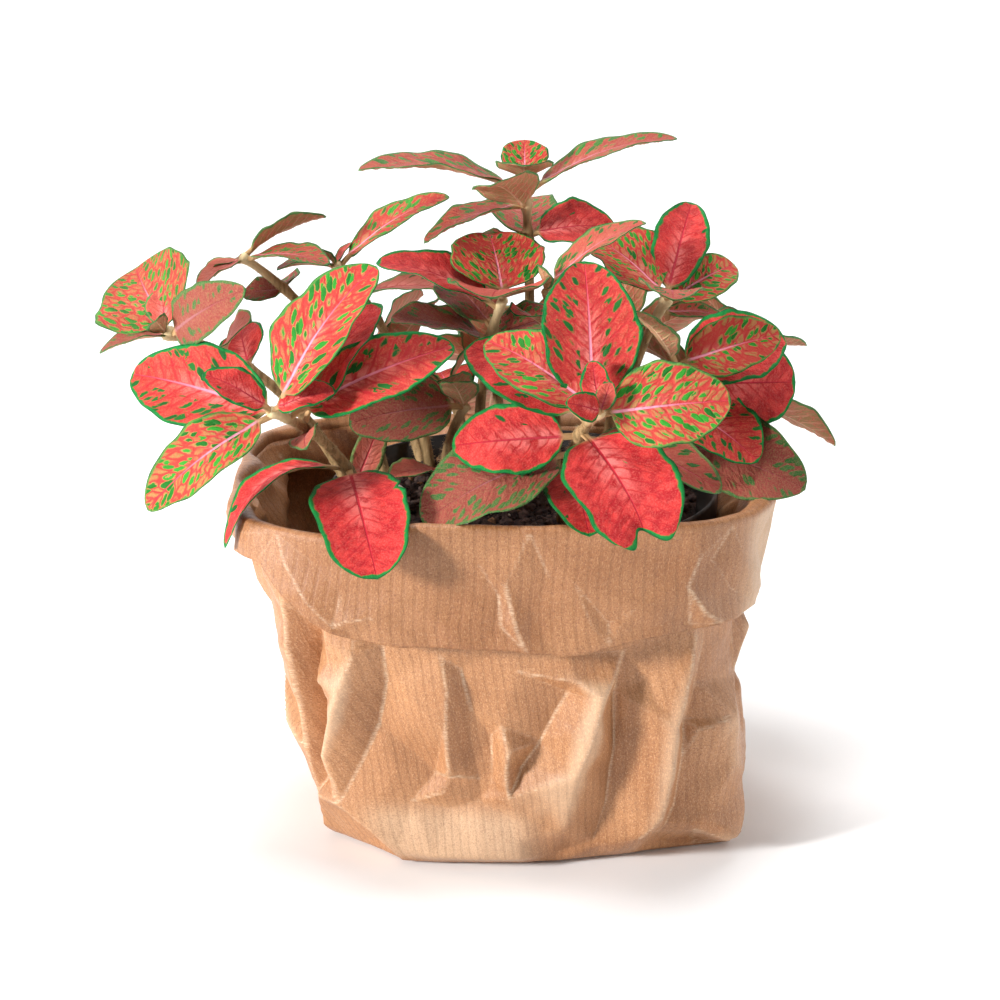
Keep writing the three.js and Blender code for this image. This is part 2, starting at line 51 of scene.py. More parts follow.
# Soft studio light: a low key from the left, a fill from the right, a top light, one for the backdrop
# and a dim room.
bpy.context.scene.view_settings.view_transform = "Standard"


def studio_light(name, place, target, size, watts):
    """A square soft box at a place, turned towards a target, both in metres."""
    lamp = bpy.data.objects.new(name, bpy.data.lights.new(name, "AREA"))
    bpy.context.scene.collection.objects.link(lamp)
    lamp.data.size = size
    lamp.data.energy = watts
    lamp.location = place
    away = lamp.location - Vector(target)
    lamp.rotation_euler = away.to_track_quat("Z", "Y").to_euler()


studio_light("key_light", (-1.02, -0.6, 0.4), (0, 0, 0.06), 0.17, 24)
studio_light("fill_light", (1.1, -0.26, 0.24), (0, 0, 0.06), 0.4, 5.5)
studio_light("top_light", (-0.1, -0.1, 1.2), (0, 0, 0.1), 0.35, 8)
studio_light("backdrop_light", (0.0, 0.75, 1.5), (0, 1.4, 0.3), 1.2, 18)

room = bpy.data.worlds.new("pale_room")
room.use_nodes = True
room.node_tree.nodes["Background"].inputs["Color"].default_value = (1, 1, 1, 1)
room.node_tree.nodes["Background"].inputs["Strength"].default_value = 0.12
bpy.context.scene.world = room


# Floor and backdrop
# One white sheet of paper on the table, which sweeps up behind the plant in a smooth bend.
def place_mesh(name, points, faces, smooth=True):
    """A mesh object from points in millimetres and faces that name them."""
    mesh = bpy.data.meshes.new(name)
    mesh.from_pydata((np.asarray(points, float) * 0.001).tolist(), [], [tuple(f) for f in faces])
    mesh.polygons.foreach_set("use_smooth", [smooth] * len(mesh.polygons))
    mesh.update()
    made = bpy.data.objects.new(name, mesh)
    bpy.context.scene.collection.objects.link(made)
    return made


def finish_of(name, roughness, specular=0.5):
    """A new material, its node tree and its Principled shader, with plain values set on the shader."""
    material = bpy.data.materials.new(name)
    material.use_nodes = True
    shader = material.node_tree.nodes["Principled BSDF"]
    shader.inputs["Roughness"].default_value = roughness
    shader.inputs["Specular IOR Level"].default_value = specular
    return material, material.node_tree, shader


sweep = [(-3000, 0), (900, 0), (1150, 40), (1350, 190), (1450, 420), (1480, 2600)]
floor = place_mesh(
    "studio_sweep",
    [(x, y, z) for y, z in sweep for x in (-3000, 3000)],
    [(2 * i, 2 * i + 1, 2 * i + 3, 2 * i + 2) for i in range(len(sweep) - 1)],
)
white_paper, _, white = finish_of("white_sweep", 0.9, 0.1)
white.inputs["Base Color"].default_value = (0.9, 0.9, 0.9, 1)
floor.data.materials.append(white_paper)


# Paper bag
# A small block-bottom bag of ribbed kraft paper, with a flat boxy foot and a crumpled wall.
# Its top is folded down outside as a cuff, which stands off the wall and hides its upper third.
BAG_PLAN = np.array(
    [
        [0, -1.5, 50, 38, 7],
        [12, -2.5, 52.5, 42, 5.5],
        [38, -6, 55, 48, 4.6],
        [69, -10.5, 58, 52, 4],
        [94, -9.5, 65, 55, 3.6],
    ]
)  # height, centre x, half width, half depth, power of the corners
RIM = [(-180, 88), (-110, 89), (-60, 90.5), (-36, 91.5), (-16, 94), (30, 94), (60, 93), (90, 90), (180, 88)]
CORNER_CUTS = [((-41, -30), (-0.71, -0.71), 21), ((15, -34.5), (0.24, -0.97), 16)]
CUT_DEPTH = 14
BAG_ROUND = 346
CUFF_EDGE = [
    (-180, 64, 4), (-130, 69, 3), (-110, 73, 3), (-92, 76, 2.5), (-78, 80, 2.5), (-62, 82, 3),
    (-47, 82, 4.2), (-41.5, 75.8, 4.6), (-37.5, 72.5, 4.8), (-32, 68, 5), (-28.5, 66, 5), (-19, 64.2, 5),
    (-7, 64.3, 4.5), (2, 64, 4), (11.5, 62, 4), (19.5, 63.8, 4), (27, 65.3, 4), (38.5, 66.5, 4),
    (44.5, 67.5, 4.5), (56, 68, 4.5), (70, 66, 4), (90, 63, 3), (120, 66, 4), (180, 64, 4),
]  # run round the bag from the middle of its front, height, stand-off
BAG_STEPS = 330
PAPER = 0.4
PAPER_LIFT = 0.35  # middle of the paper above the table
WALL_INSET = 0.45  # middle of the wall's paper inside the plan
TURN_OVER = 1.5  # half the height of the bend into the cuff
CUFF_START = 98  # place on the sheet where the cuff starts
CUFF_RINGS = 38
CUFF_COVERS = 66  # the wall is behind the cuff above this height
CREASE_ROOM = 1.3  # how far the wall's creases may stand out behind the cuff
FOLD_DEPTH = 1.55
FRONT_HALF = 62  # how far round to each side the folds are the photograph's own
CREASE_REACH = 0.9
RIB_PITCH = 2.15


def bag_plan(angle, height, offset):
    """Points of the bag's outline at heights, moved out by offsets. The angle is from the front."""
    wide, deep, power, middle = (np.interp(height, BAG_PLAN[:, 0], BAG_PLAN[:, i]) for i in (2, 3, 4, 1))
    s, c = np.sin(angle), np.cos(angle)
    reach = (np.abs(s / wide) ** power + np.abs(c / deep) ** power) ** (-1 / power) + offset
    x, y = middle + reach * s, -reach * c
    for (cut_x, cut_y), (out_x, out_y), top in CORNER_CUTS:
        beyond = (x - cut_x) * out_x + (y - cut_y) * out_y - offset
        cut = np.maximum(0, beyond - CUT_DEPTH * height / top)
        x, y = x - cut * out_x, y - cut * out_y
    return np.stack([x, y, np.broadcast_to(height, x.shape)], -1)


def length_along(line):
    """How far each point of a line is from its first, along the line."""
    return np.concatenate([[0], np.cumsum(np.linalg.norm(np.diff(line, axis=0), axis=1))])


walk_angle = np.linspace(0, 2 * math.pi, 1441)
walk = bag_plan(walk_angle, np.full(walk_angle.shape, 50.0), 0)
walk_length = length_along(walk)
bag_share = np.interp(np.arange(BAG_STEPS) / BAG_STEPS, [0, 0.35, 0.65, 1], [0, 0.22, 0.78, 1])
bag_angle = np.interp(bag_share, walk_length / walk_length[-1], walk_angle)
bag_run = np.where(bag_share > 0.5, bag_share - 1, bag_share) * BAG_ROUND

# Folds of the wall, as the photograph shows them: lines of points (run, height, stand-off). The paper lies in
# flat facets between them. Ridges stand out of the plan and valleys lie in it.
WALL_FOLDS = [
    [(13, 61, 0.6), (14.5, 54, 2), (19, 50, 3.4), (17, 43, 3.6), (12, 28, 3), (8, 12, 1.8), (4.5, 3, 0.6)],
    [(13, 50, -0.4), (5.5, 36, -1.5), (0, 29, -0.9)],
    [(27, 60, -1.6), (24, 50, -1.9), (24, 40, -2.2), (23, 30, -2.2), (21, 18, -1.4), (17, 8, -0.6)],
    [
        (42, 64, 0.6), (38.5, 54, 2), (34.5, 41, 2.8), (33.5, 29, 2.9), (32, 16, 2.4), (28, 9, 1.4),
        (20, 2, 0.3),
    ],
    [(30.5, 52, -1.2), (36, 56, 0.4)],
    [(46, 62, -1.0), (43.5, 50, -1.6), (40, 41, -1.8), (38.5, 30, -0.6), (37.5, 18, -0.8), (35, 9, -1.0)],
    [(42, 38.5, 0.4), (51.5, 40, 1.9), (57, 32, 1), (60, 19, 1), (56, 7, 2), (50, 5, 2.4), (42, 10, 0.6)],
    [(40, 2, -2.0), (48, 1.5, -2.6), (56, 1.5, -2.6), (64, 2, -2.0)],
    [(41.5, 24, -0.4), (47, 21, 1.2), (46, 14, 0.4), (51, 28, 2.0)],
    [(-3, 41, 0.2), (-2.2, 35, 1.8), (-3.6, 29, 1.4), (-4, 25, 2.2), (-4, 21.5, 2.0)],
    [(-6, 38, -1.0), (-7, 30, -0.8), (-8, 25, -0.2)],
    [(-13.5, 60, 0.4), (-13, 51.5, 1.5), (-15, 42, 1.4), (-17, 28, 1.7), (-20, 22.5, 0.9)],
    [(-10, 56, -0.6), (-9.5, 45, -0.8), (-12, 33, -0.5)],
    [
        (-46, 17.5, 1), (-35.5, 21.2, 0.1), (-29.5, 19.2, -0.4), (-21, 16.8, -0.6), (-12, 19.5, 0),
        (-4, 21.5, 1.2),
    ],
    [(-47, 17, 1.5), (-40, 11, 1.5), (-37, 4, 0.8), (-35.5, 0.5, 0.3)],
    [(-43, 8, -0.9), (-39, 1, -0.6)],
    [(-35, 6, 1.2), (-26, 4.5, 2.6), (-14, 4.5, 3.2), (-3.5, 4, 2.8)],
    [(-31, 28, -0.8), (-22, 27, -1.4), (-11, 26, -0.6)],
    [(-30.5, 65, 0.8), (-31.5, 59.5, 2.2), (-35, 51, 2.9), (-38.5, 43, 3.0), (-45, 31, 2.2)],
    [(-26, 62, -0.9), (-28, 52, -1.7), (-33, 40, -2.5), (-39, 30, -1.7)],
    [(-37, 64, 0.6), (-38, 57, 0.8), (-41, 52, 1.4), (-40, 47, 1.0)],
    [
        (-42, 70, -2.4), (-43.5, 62, -4.4), (-45.5, 52, -5), (-47.5, 42, -4.6), (-50, 31, -3.4),
        (-52, 22, -1.6),
    ],
    [(-47, 72, 0.9), (-48.5, 58, 1.3), (-50.5, 44, 1.3), (-53.5, 30, 1.0), (-57, 16, 0.6)],
    [(-1.5, 14, 1.8), (-3.2, 9, 2.5), (-3.5, 4, 2.8)],
]
CUFF_FOLDS = [
    [(5, 93, 0.6), (3, 86, 1.4), (1, 80, 0.7), (3, 71, 1.5), (4.5, 64, 1.0)],
    [(-4, 85, -0.2), (1.5, 90, 0.4), (3, 86, 1.4)],
    [(0, 77, -0.5), (0.5, 70, -0.4)], [(7, 72, -0.3), (9, 82, -0.4)],
    [(-31, 69, 0.9), (-28.5, 70.5, 1.2), (-23.5, 71.5, 0.5)], [(-26, 67, -0.4), (-20, 67, 0.1)],
    [(17.5, 69.5, 0.9), (20.5, 65, 0.6)], [(21, 70, -0.4)],
    [(35.5, 92, 0.8), (38, 85.5, 1.3), (36, 78, 0.6)], [(32, 84, -0.5)], [(41, 84, -0.3)],
    [(40, 71, 1.6), (43.5, 68, 1.2)], [(38, 68, -0.4)], [(44, 73, -0.2)],
    [(45, 91.5, 0.5), (50.5, 79, 1.6), (54, 70, 1.0)], [(55, 84, -0.3)], [(47, 75, -0.4)],
    [(-44, 90, 0.4), (-41, 83, 1.3), (-36, 75, 1.5), (-31, 69, 0.9)], [(-36, 84, -0.3)], [(-30, 77, -0.4)],
    [(-14, 80, -0.3)], [(-10, 70, 0.3)], [(14, 80, 0.3)], [(26, 74, 0.2)], [(26, 88, -0.3)], [(-20, 90, 0.3)],
    [(-52, 93, 0.4), (-55, 87, 1.9), (-57, 81, 1.2)], [(-50, 78, -0.5)], [(-59, 92, -0.6), (-61, 85, -0.8)],
    [(-64, 93, 0.5), (-67, 87, 1.7), (-71, 82, 0.6)], [(-74, 90, -0.7)],
    [(58, 76, 1.2), (61, 86, 1.6), (64, 93, 0.7)],
]


def scattered_folds(seed, spread, low, high, step, taken, clear):
    """Fold points over the whole bag at about one step apart, away from the ones taken already."""
    draw = np.random.default_rng(seed)
    found = []
    for i in range(int(BAG_ROUND / step)):
        for j in range(int((high - low) / step) + 1):
            run = -BAG_ROUND / 2 + (i + 0.5 * (j % 2) + draw.uniform(0.15, 0.85)) * step
            height = low + (j + draw.uniform(-0.3, 0.3)) * step
            out = draw.choice([-1, 1]) * draw.uniform(0.3, 1) * spread
            if all(math.hypot(run - r, height - h) > clear for r, h, _ in taken):
                found.append([(run, height, out * (1 if abs(run) > FRONT_HALF else 0.3))])
    return found


def triangulate_folds(lines):
    """The facets between fold lines: points, stand-offs and triangles, round the bag and over its seam."""
    points, outs, edges = [], [], []
    for turn in (-BAG_ROUND, 0, BAG_ROUND):
        for line in lines:
            if turn and min(abs(r + turn) for r, _, _ in line) > BAG_ROUND / 2 + 40:
                continue
            edges += [(len(points) + k, len(points) + k + 1) for k in range(len(line) - 1)]
            points += [Vector((r + turn, h)) for r, h, _ in line]
            outs += [out for _, _, out in line]
    corners, _, triangles, sources, _, _ = delaunay_2d_cdt(points, edges, [], 0, 1e-4)
    value = [outs[src[0]] if src else 0.0 for src in sources]
    return np.array([tuple(c) for c in corners]), np.array(value), triangles


def facet_relief(run, height, folds):
    """Stand-off of the creased paper at places, on the facet that each is in."""
    corners, value, triangles = folds
    total = np.zeros(run.shape)
    for a, b, c in triangles:
        (ax, ay), (bx, by), (cx, cy) = corners[a], corners[b], corners[c]
        area = (bx - ax) * (cy - ay) - (cx - ax) * (by - ay)
        near = (run >= min(ax, bx, cx)) & (run <= max(ax, bx, cx))
        near &= (height >= min(ay, by, cy)) & (height <= max(ay, by, cy))
        if abs(area) < 1e-9 or not near.any():
            continue
        x, y = run[near], height[near]
        v = ((x - ax) * (cy - ay) - (cx - ax) * (y - ay)) / area
        w = ((bx - ax) * (y - ay) - (x - ax) * (by - ay)) / area
        inside = (v >= -1e-9) & (w >= -1e-9) & (v + w <= 1 + 1e-9)
        part = total[near]
        part[inside] = (value[a] * (1 - v - w) + value[b] * v + value[c] * w)[inside]
        total[near] = part
    return total


wall_taken = [point for line in WALL_FOLDS for point in line]
edge_rows = [[(run, height, 0.0)] for run in range(-173, 173, 12) for height in (-6, 98)]
wall_facets = triangulate_folds(WALL_FOLDS + scattered_folds(4, 2.6, 2, 92, 10.5, wall_taken, 8) + edge_rows)
cuff_taken = [point for line in CUFF_FOLDS for point in line]
edge_rows = [[(run, height, 0.3)] for run in range(-173, 173, 14) for height in (54, 100)]
cuff_facets = triangulate_folds(CUFF_FOLDS + scattered_folds(9, 0.9, 62, 94, 8.5, cuff_taken, 7) + edge_rows)


def scatter(place, seed):
    """A repeatable number from 0 to 1 for whole-number places."""
    n = np.sin(place[..., 0] * 127.1 + place[..., 1] * 311.7 + seed * 74.7) * 43758.5453
    return n - np.floor(n)


def crumple(run, height, cell, seed):
    """Small flat crumples between the folds: -0.5 to 0.5 over cells of a size."""
    bend = 0.35 * cell
    x = run + bend * np.sin(height / cell * 1.3 + seed) + 0.4 * bend * np.sin(height / cell * 3.1 + 2 * seed)
    y = height + bend * np.sin(x / cell * 1.1 + 2.2 * seed)
    x, y = x / cell, y / cell * 1.15
    x = x + y * 0.5
    ix, iy = np.floor(x), np.floor(y)
    fx, fy = x - ix, y - iy

    def corner(i, j):
        return scatter(np.stack([ix + i, iy + j], -1), seed)

    low = corner(0, 0) * (1 - fx) + corner(1, 0) * (fx - fy) + corner(1, 1) * fy
    high = corner(0, 0) * (1 - fy) + corner(0, 1) * (fy - fx) + corner(1, 1) * fx
    return np.where(fx > fy, low, high) - 0.5


def wall_relief(run, height):
    """How far the wall's paper stands out of its plan. It calms down at the foot."""
    folds = FOLD_DEPTH * facet_relief(run, height, wall_facets)
    patch = np.clip(1.5 + 4 * crumple(run, height, 26, 17), 0.3, 1.6)
    smallest = 0.3 * crumple(run, height, 3.7, 9) * np.where(np.abs(run) > 60, 0.5, 1)
    fine = (0.7 * crumple(run, height, 8, 5) + smallest) * patch
    inside = np.interp(height, [62, 74, 84], [0, 1, 1]) * np.clip((np.abs(run) - 40) / 15, 0, 1)
    calm = np.interp(height, [62, 74, 90], [1, 0.5, 0.5])
    return (folds + fine) * np.clip(height / 4, 0.1, 1) * (calm + inside)


def fold_lines(run, height, folds):
    """How near places are to a crease between facets: 1 on a steep crease, 0 beyond its reach."""
    corners, value, triangles = folds
    tilts, total = {}, np.zeros(run.shape)
    for a, b, c in triangles:
        p, q, r = ([*corners[k], value[k]] for k in (a, b, c))
        normal = np.cross(np.subtract(q, p), np.subtract(r, p))
        if abs(normal[2]) > 1e-9:
            for pair in ((a, b), (b, c), (c, a)):
                upright = normal / np.linalg.norm(normal) * np.sign(normal[2])
                tilts.setdefault(tuple(sorted(pair)), []).append(upright)
    for (a, b), sides in tilts.items():
        (ax, ay), (bx, by) = corners[a], corners[b]
        bent = math.acos(min(1, sides[0] @ sides[1])) if len(sides) == 2 else 0
        near = (run > min(ax, bx) - 1.5) & (run < max(ax, bx) + 1.5)
        near &= (height > min(ay, by) - 1.5) & (height < max(ay, by) + 1.5)
        if bent < 0.12 or not near.any():
            continue
        x, y = run[near] - ax, height[near] - ay
        dx, dy = bx - ax, by - ay
        share = np.clip((x * dx + y * dy) / (dx * dx + dy * dy), 0, 1)
        away = np.hypot(x - share * dx, y - share * dy)
        total[near] = np.maximum(total[near], np.clip(1 - away / CREASE_REACH, 0, 1) * min(1, bent / 0.7))
    return total


bag_points, bag_sheet, bag_worn = [], [], []


def bag_ring(points, down_the_sheet, relief, wear_and_sheen=0.0):
    """Adds one ring of points to the bag, and what its paper's shader reads there."""
    bag_points.append(points)
    bag_sheet.append(np.stack([bag_run, np.broadcast_to(down_the_sheet, bag_run.shape), relief], -1))
    bag_worn.append(np.broadcast_to(wear_and_sheen, bag_run.shape))


flat = np.zeros(BAG_STEPS)
foot = bag_plan(bag_angle, flat, 0)
for share, height in ((0.02, 0), (0.3, 0), (0.6, 0), (0.84, 0), (0.93, 0.12), (0.98, 0.5)):
    bag_ring(foot * [share, share, 0] + [0, 0, height + PAPER_LIFT], -50 * (1 - share), flat)
rim_height = np.interp(bag_run, *zip(*RIM))
rim_height = rim_height + 0.8 * crumple(bag_run, flat, 13, 2) + 0.5 * crumple(bag_run, flat, 5, 6)
rim_height = rim_height - 1.6 * np.clip(1 - np.abs(bag_run + 29) / 14, 0, 1)

# The wall, with deeper dents on its inside at the left, above the mix.
ring_heights = np.array([1.4, 2.4, *np.arange(3.4, 72, 0.8), *range(73, 92, 2)])[:, None]
level = np.minimum(ring_heights, rim_height - 2.5)
every_run = np.broadcast_to(bag_run, level.shape)
relief = wall_relief(every_run, level)
pressed = np.clip(14 * crumple(every_run, level, 15, 31) + 2, 0, 7) + 3 * crumple(every_run, level, 5, 33)
pressed = pressed * np.clip((rim_height - 3 - level) / 7, 0, 1) * np.clip((level - 72) / 8, 0, 1)
relief = relief - pressed * np.clip((-30 - every_run) / 12, 0, 1) * np.clip((every_run + 150) / 20, 0, 1)
relief = np.where(level > CUFF_COVERS, np.minimum(relief, CREASE_ROOM), relief)

# The columns are wide at the sides and the back, so the creases are softened there.
wide_columns = np.clip((np.abs(bag_run) - 70) / 8, 0, 1)
for _ in range(2):
    beside = (np.roll(relief, 1, 1) + np.roll(relief, -1, 1)) / 2
    relief = relief + 0.5 * wide_columns * (beside - relief)
wall = bag_plan(bag_angle, level, relief - WALL_INSET)
for row in zip(wall, level, relief, fold_lines(every_run, level, wall_facets)):
    bag_ring(*row)
last_relief = relief[-1]

# The cuff, from the bend at the rim down to its wavy edge. It lies over the wall's creases.
edge_run, edge_height, edge_off = zip(*CUFF_EDGE)
wander = 0.7 * crumple(bag_run, flat, 6, 3) + 0.8 * crumple(bag_run, flat, 14, 4)
cuff_foot = np.interp(bag_run, edge_run, edge_height) + wander
cuff_off = np.interp(bag_run, edge_run, edge_off)
share = np.linspace(0, 1, CUFF_RINGS)[:, None]
level = rim_height - TURN_OVER + (cuff_foot - rim_height + TURN_OVER) * share
every_run = np.broadcast_to(bag_run, level.shape)
under = np.maximum(0, wall_relief(every_run, level)) * np.clip((80 - level) / 8, 0, 1)
own = 1.1 * facet_relief(every_run, level, cuff_facets) + 0.6 * crumple(every_run, level, 7, 12)
own = np.maximum(-0.8, own + 0.25 * crumple(every_run, level, 3.6, 14))
out = 2.6 + (cuff_off - 1.6) * share**1.1 + under * share + own * (0.5 + 0.5 * share)
for turned in np.linspace(0, math.pi, 7)[1:-1]:
    height = rim_height - TURN_OVER + TURN_OVER * math.sin(turned)
    start, end = last_relief - WALL_INSET, out[0]
    middle = start + (end - start) * (0.5 - 0.5 * math.cos(turned))
    bag_ring(bag_plan(bag_angle, height, middle), CUFF_START - 4 + turned, flat)
cuff = bag_plan(bag_angle, level, out)
for row in zip(cuff, CUFF_START + rim_height - level, own, fold_lines(every_run, level, cuff_facets)):
    bag_ring(*row)


def band_faces(start, rings, steps):
    """Faces that join rings of points to each other. The first ring starts at a point's number."""
    faces = []
    for ring in range(rings - 1):
        for i in range(steps):
            a = start + ring * steps + i
            b = start + ring * steps + (i + 1) % steps
            faces.append((a, b, b + steps, a + steps))
    return faces


def fan_faces(middle, start, steps):
    """Triangles that join a ring of points to one point, both given by their numbers."""
    return [(middle, start + (i + 1) % steps, start + i) for i in range(steps)]


sheet_points = np.concatenate([[[0, 0, PAPER_LIFT]], np.array(bag_points).reshape(-1, 3)])
bag_faces = fan_faces(0, 1, BAG_STEPS) + band_faces(1, len(bag_points), BAG_STEPS)
bag = place_mesh("paper_bag_sheet", sheet_points, bag_faces)
sheet = bag.data.attributes.new("sheet", "FLOAT_VECTOR", "POINT")
sheet.data.foreach_set("vector", np.concatenate([[[0, -60, 0]], np.array(bag_sheet).reshape(-1, 3)]).ravel())
wear_and_sheen = bag.data.attributes.new("wear_and_sheen", "FLOAT", "POINT")
wear_and_sheen.data.foreach_set("value", np.concatenate([[0], np.array(bag_worn).ravel()]))
paper_thickness = bag.modifiers.new("paper", "SOLIDIFY")
paper_thickness.thickness = PAPER * 0.001
paper_thickness.offset = 0


def shade(tree, kind, inputs=(), **settings):
    """Adds a node with its settings, and its inputs by name or number: a value, or a socket to link."""
    node = tree.nodes.new("ShaderNode" + kind)
    for name, value in settings.items():
        setattr(node, name, value)
    for name, value in dict(inputs).items():
        if isinstance(value, bpy.types.NodeSocket):
            tree.links.new(value, node.inputs[name])
        else:
            node.inputs[name].default_value = value
    return node


def sums(operation, *values):
    """One Math node of an operation on values and sockets, in the sockets' own tree."""
    tree = next(value.id_data for value in values if isinstance(value, bpy.types.NodeSocket))
    return shade(tree, "Math", enumerate(values), operation=operation).outputs[0]


def times(first, second):
    """The product of two values."""
    return sums("MULTIPLY", first, second)


def times_plus(first, second, third):
    """The product of the first two, and the third added."""
    return sums("MULTIPLY_ADD", first, second, third)


def ease(value, low, high, start=0.0, end=1.0):
    """A smooth step of a socket's value between two limits."""
    limits = {0: value, 1: low, 2: high, 3: start, 4: end}
    return shade(value.id_data, "MapRange", limits, interpolation_type="SMOOTHSTEP").outputs[0]


def colour(text):
    """A scene colour from six hex digits."""
    parts = [int(text[i : i + 2], 16) / 255 for i in (0, 2, 4)]
    return tuple(p / 12.92 if p <= 0.04045 else ((p + 0.055) / 1.055) ** 2.4 for p in parts) + (1,)


def blend_colours(share, first, second, kind="MIX"):
    """A mix of two colours, each given as hex digits or a socket."""
    first, second = (colour(given) if isinstance(given, str) else given for given in (first, second))
    parts = {0: share, 6: first, 7: second}
    return shade(share.id_data, "Mix", parts, data_type="RGBA", blend_type=kind).outputs[2]


def layered(base, *layers):
    """A colour with others laid over it in turn, each where its mask is."""
    for mask, layer in layers:
        base = blend_colours(mask, base, layer)
    return base


def noise(place, scale, detail=2.0, roughness=0.5):
    """Cloudy noise at a place."""
    values = {"Vector": place, "Scale": scale, "Detail": detail, "Roughness": roughness}
    return shade(place.id_data, "TexNoise", values).outputs[0]


def stretched(place, factors):
    """A place with its three parts multiplied by factors."""
    return shade(place.id_data, "VectorMath", {0: place, 1: factors}, operation="MULTIPLY").outputs[0]


def attribute(tree, name):
    """What a mesh has stored under a name."""
    return shade(tree, "Attribute", attribute_name=name).outputs


def parts_of(vector):
    """The three parts of a vector."""
    return shade(vector.id_data, "SeparateXYZ", {0: vector}).outputs


def object_place(tree):
    """Where a point of the piece is, in metres."""
    return shade(tree, "TexCoord").outputs["Object"]


def paint(shader, base, height, strength, distance):
    """Gives a shader its colour, and a relief of a height, strength and depth in metres."""
    tree = base.id_data
    bump = shade(tree, "Bump", {"Strength": strength, "Distance": distance, "Height": height})
    tree.links.new(base, shader.inputs["Base Color"])
    tree.links.new(bump.outputs[0], shader.inputs["Normal"])


# Kraft paper: pressed ribs, short fibres, blotches and pale worn creases; painted sheen on the ridges that
# stand out most, and painted highlights on a band at the foot and on the cuff's right ear.
kraft, tree, shader = finish_of("kraft_paper", 0.5, 0.5)
sheet_at = attribute(tree, "sheet")["Vector"]
run_at, down_at, relief_at = parts_of(sheet_at)
waver = noise(sheet_at, 0.05)
rib_place = times_plus(waver, 2.2, run_at)
rib = sums("SINE", times(rib_place, 2 * math.pi / RIB_PITCH))
groove = ease(rib, 0.1, 0.95)
fibre_at = stretched(sheet_at, (2.6, 0.7, 0.0))
fibre = noise(fibre_at, 1.6, 6.0, 0.75)
cross_at = stretched(sheet_at, (0.5, 2.2, 0.0))
cross = noise(cross_at, 1.1, 5.0, 0.65)
stipple = noise(sheet_at, 2.4, 4.0, 0.85)
blotch = noise(sheet_at, 0.045, 4.0)
paper = layered(
    blend_colours(ease(blotch, 0.35, 0.65), "a67046", "b88358"),
    (times(ease(fibre, 0.47, 0.68), 0.65), "dfb488"),
    (times(ease(cross, 0.55, 0.75), 0.4), "8f5c3a"),
    (times(ease(stipple, 0.49, 0.62), 0.66), "7d4d33"),
    (times(groove, ease(cross, 0.4, 0.6, 0.26, 0.13)), "80502f"),
)
on_cuff = ease(down_at, CUFF_START - 5, CUFF_START + 1, 0.0, 0.85)
paper = blend_colours(on_cuff, paper, "e6dfd8", "MULTIPLY")
worn_at = attribute(tree, "wear_and_sheen")["Fac"]
wear_and_sheen = times(ease(worn_at, 0.28, 1.0), ease(cross, 0.4, 0.65, 0.12, 0.62))
# Painted sheen: the paper is paler where it stands out most from the wall.
wear_and_sheen = sums("MAXIMUM", wear_and_sheen, times(ease(relief_at, 1.8, 4.2), 0.3))
# Painted highlight: a pale band low on the front of the bag, where the glazed paper catches the light.
foot_sheen = times(ease(run_at, 6.0, -6.0), ease(run_at, -46.0, -34.0))
foot_sheen = times(foot_sheen, times(ease(down_at, 21.0, 13.0), ease(down_at, 1.0, 4.0)))
wear_and_sheen = sums("MAXIMUM", wear_and_sheen, times(foot_sheen, ease(stipple, 0.3, 0.7, 0.45, 0.2)))
# Painted highlight: the right ear of the cuff is made paler.
ear_highlight = times(ease(run_at, 46.0, 56.0), ease(down_at, CUFF_START, CUFF_START + 3, 0.0, 0.4))
wear_and_sheen = sums("MAXIMUM", wear_and_sheen, times(ear_highlight, ease(run_at, 72.0, 62.0)))
# Pale crease wear, with the painted sheen and highlights, laid over the paper.
paper = blend_colours(wear_and_sheen, paper, "ecd3b4")
height = sums("ADD", times(groove, -0.05), times(fibre, 0.12))
height = sums("ADD", height, times(stipple, 0.08))
paint(shader, paper, height, 0.9, 0.001)
tree.links.new(ease(fibre, 0.3, 0.7, 0.48, 0.36), shader.inputs["Roughness"])
bag.data.materials.append(kraft)
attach(bag, "root")
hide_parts("paper_bag")


# Nursery pot
# The thin black plastic pot that the plant was grown in, blow-moulded with a wide rolled lip.
# It stands loose in the bag on its foot, and only its lip shows, between the leaves.
POT_MIDDLE = (-4, 0)


def pot_place(radius, turn):
    """A place in plan, by how far from the pot's middle it is and its turn from the front."""
    return POT_MIDDLE[0] + radius * math.sin(turn), POT_MIDDLE[1] - radius * math.cos(turn)


pot_profile = [
    (0, 1.4), (31, 1.3), (33.2, 1.5), (34, 2.4), (39.5, 38), (44.9, 77.4), (45.2, 78.2), (47.7, 78.4),
    (48, 79), (48.5, 85.6), (48.2, 86.2), (47.6, 86.2), (47.3, 85.6), (46.8, 79.8), (43.8, 79.3),
    (43.4, 78.6), (38.3, 38), (32.8, 3.6), (31, 2.6), (0, 2.5),
]
pot_steps = 96
turns = np.arange(pot_steps) * 2 * math.pi / pot_steps
pot_points = [(*pot_place(r, a), z) for r, z in pot_profile[1:-1] for a in turns]
pot_points += [(*POT_MIDDLE, pot_profile[0][1]), (*POT_MIDDLE, pot_profile[-1][1])]
last_ring = (len(pot_profile) - 3) * pot_steps
pot_faces = band_faces(0, len(pot_profile) - 2, pot_steps) + fan_faces(len(pot_points) - 2, 0, pot_steps)
pot_faces += [(a, c, b) for a, b, c in fan_faces(len(pot_points) - 1, last_ring, pot_steps)]
pot = place_mesh("nursery_pot_shell", pot_points, pot_faces)
black_plastic, tree, shader = finish_of("black_pot_plastic", 0.6, 0.4)
place = object_place(tree)
dust = noise(place, 160.0, 5.0)
dusted = blend_colours(ease(dust, 0.5, 0.7), "231f1e", "4a3f38")
paint(shader, dusted, dust, 0.3, 0.0003)
pot.data.materials.append(black_plastic)
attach(pot, "root")
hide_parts("nursery_pot")


# Potting mix
# Damp dark peat with bark, fills the nursery pot to just under its lip; the stems stand in it.
# The surface is pressed lumps. Loose crumbs of peat, bark and white perlite lie on it.
SOIL_TOP = 84
SOIL_RADIUS = 43


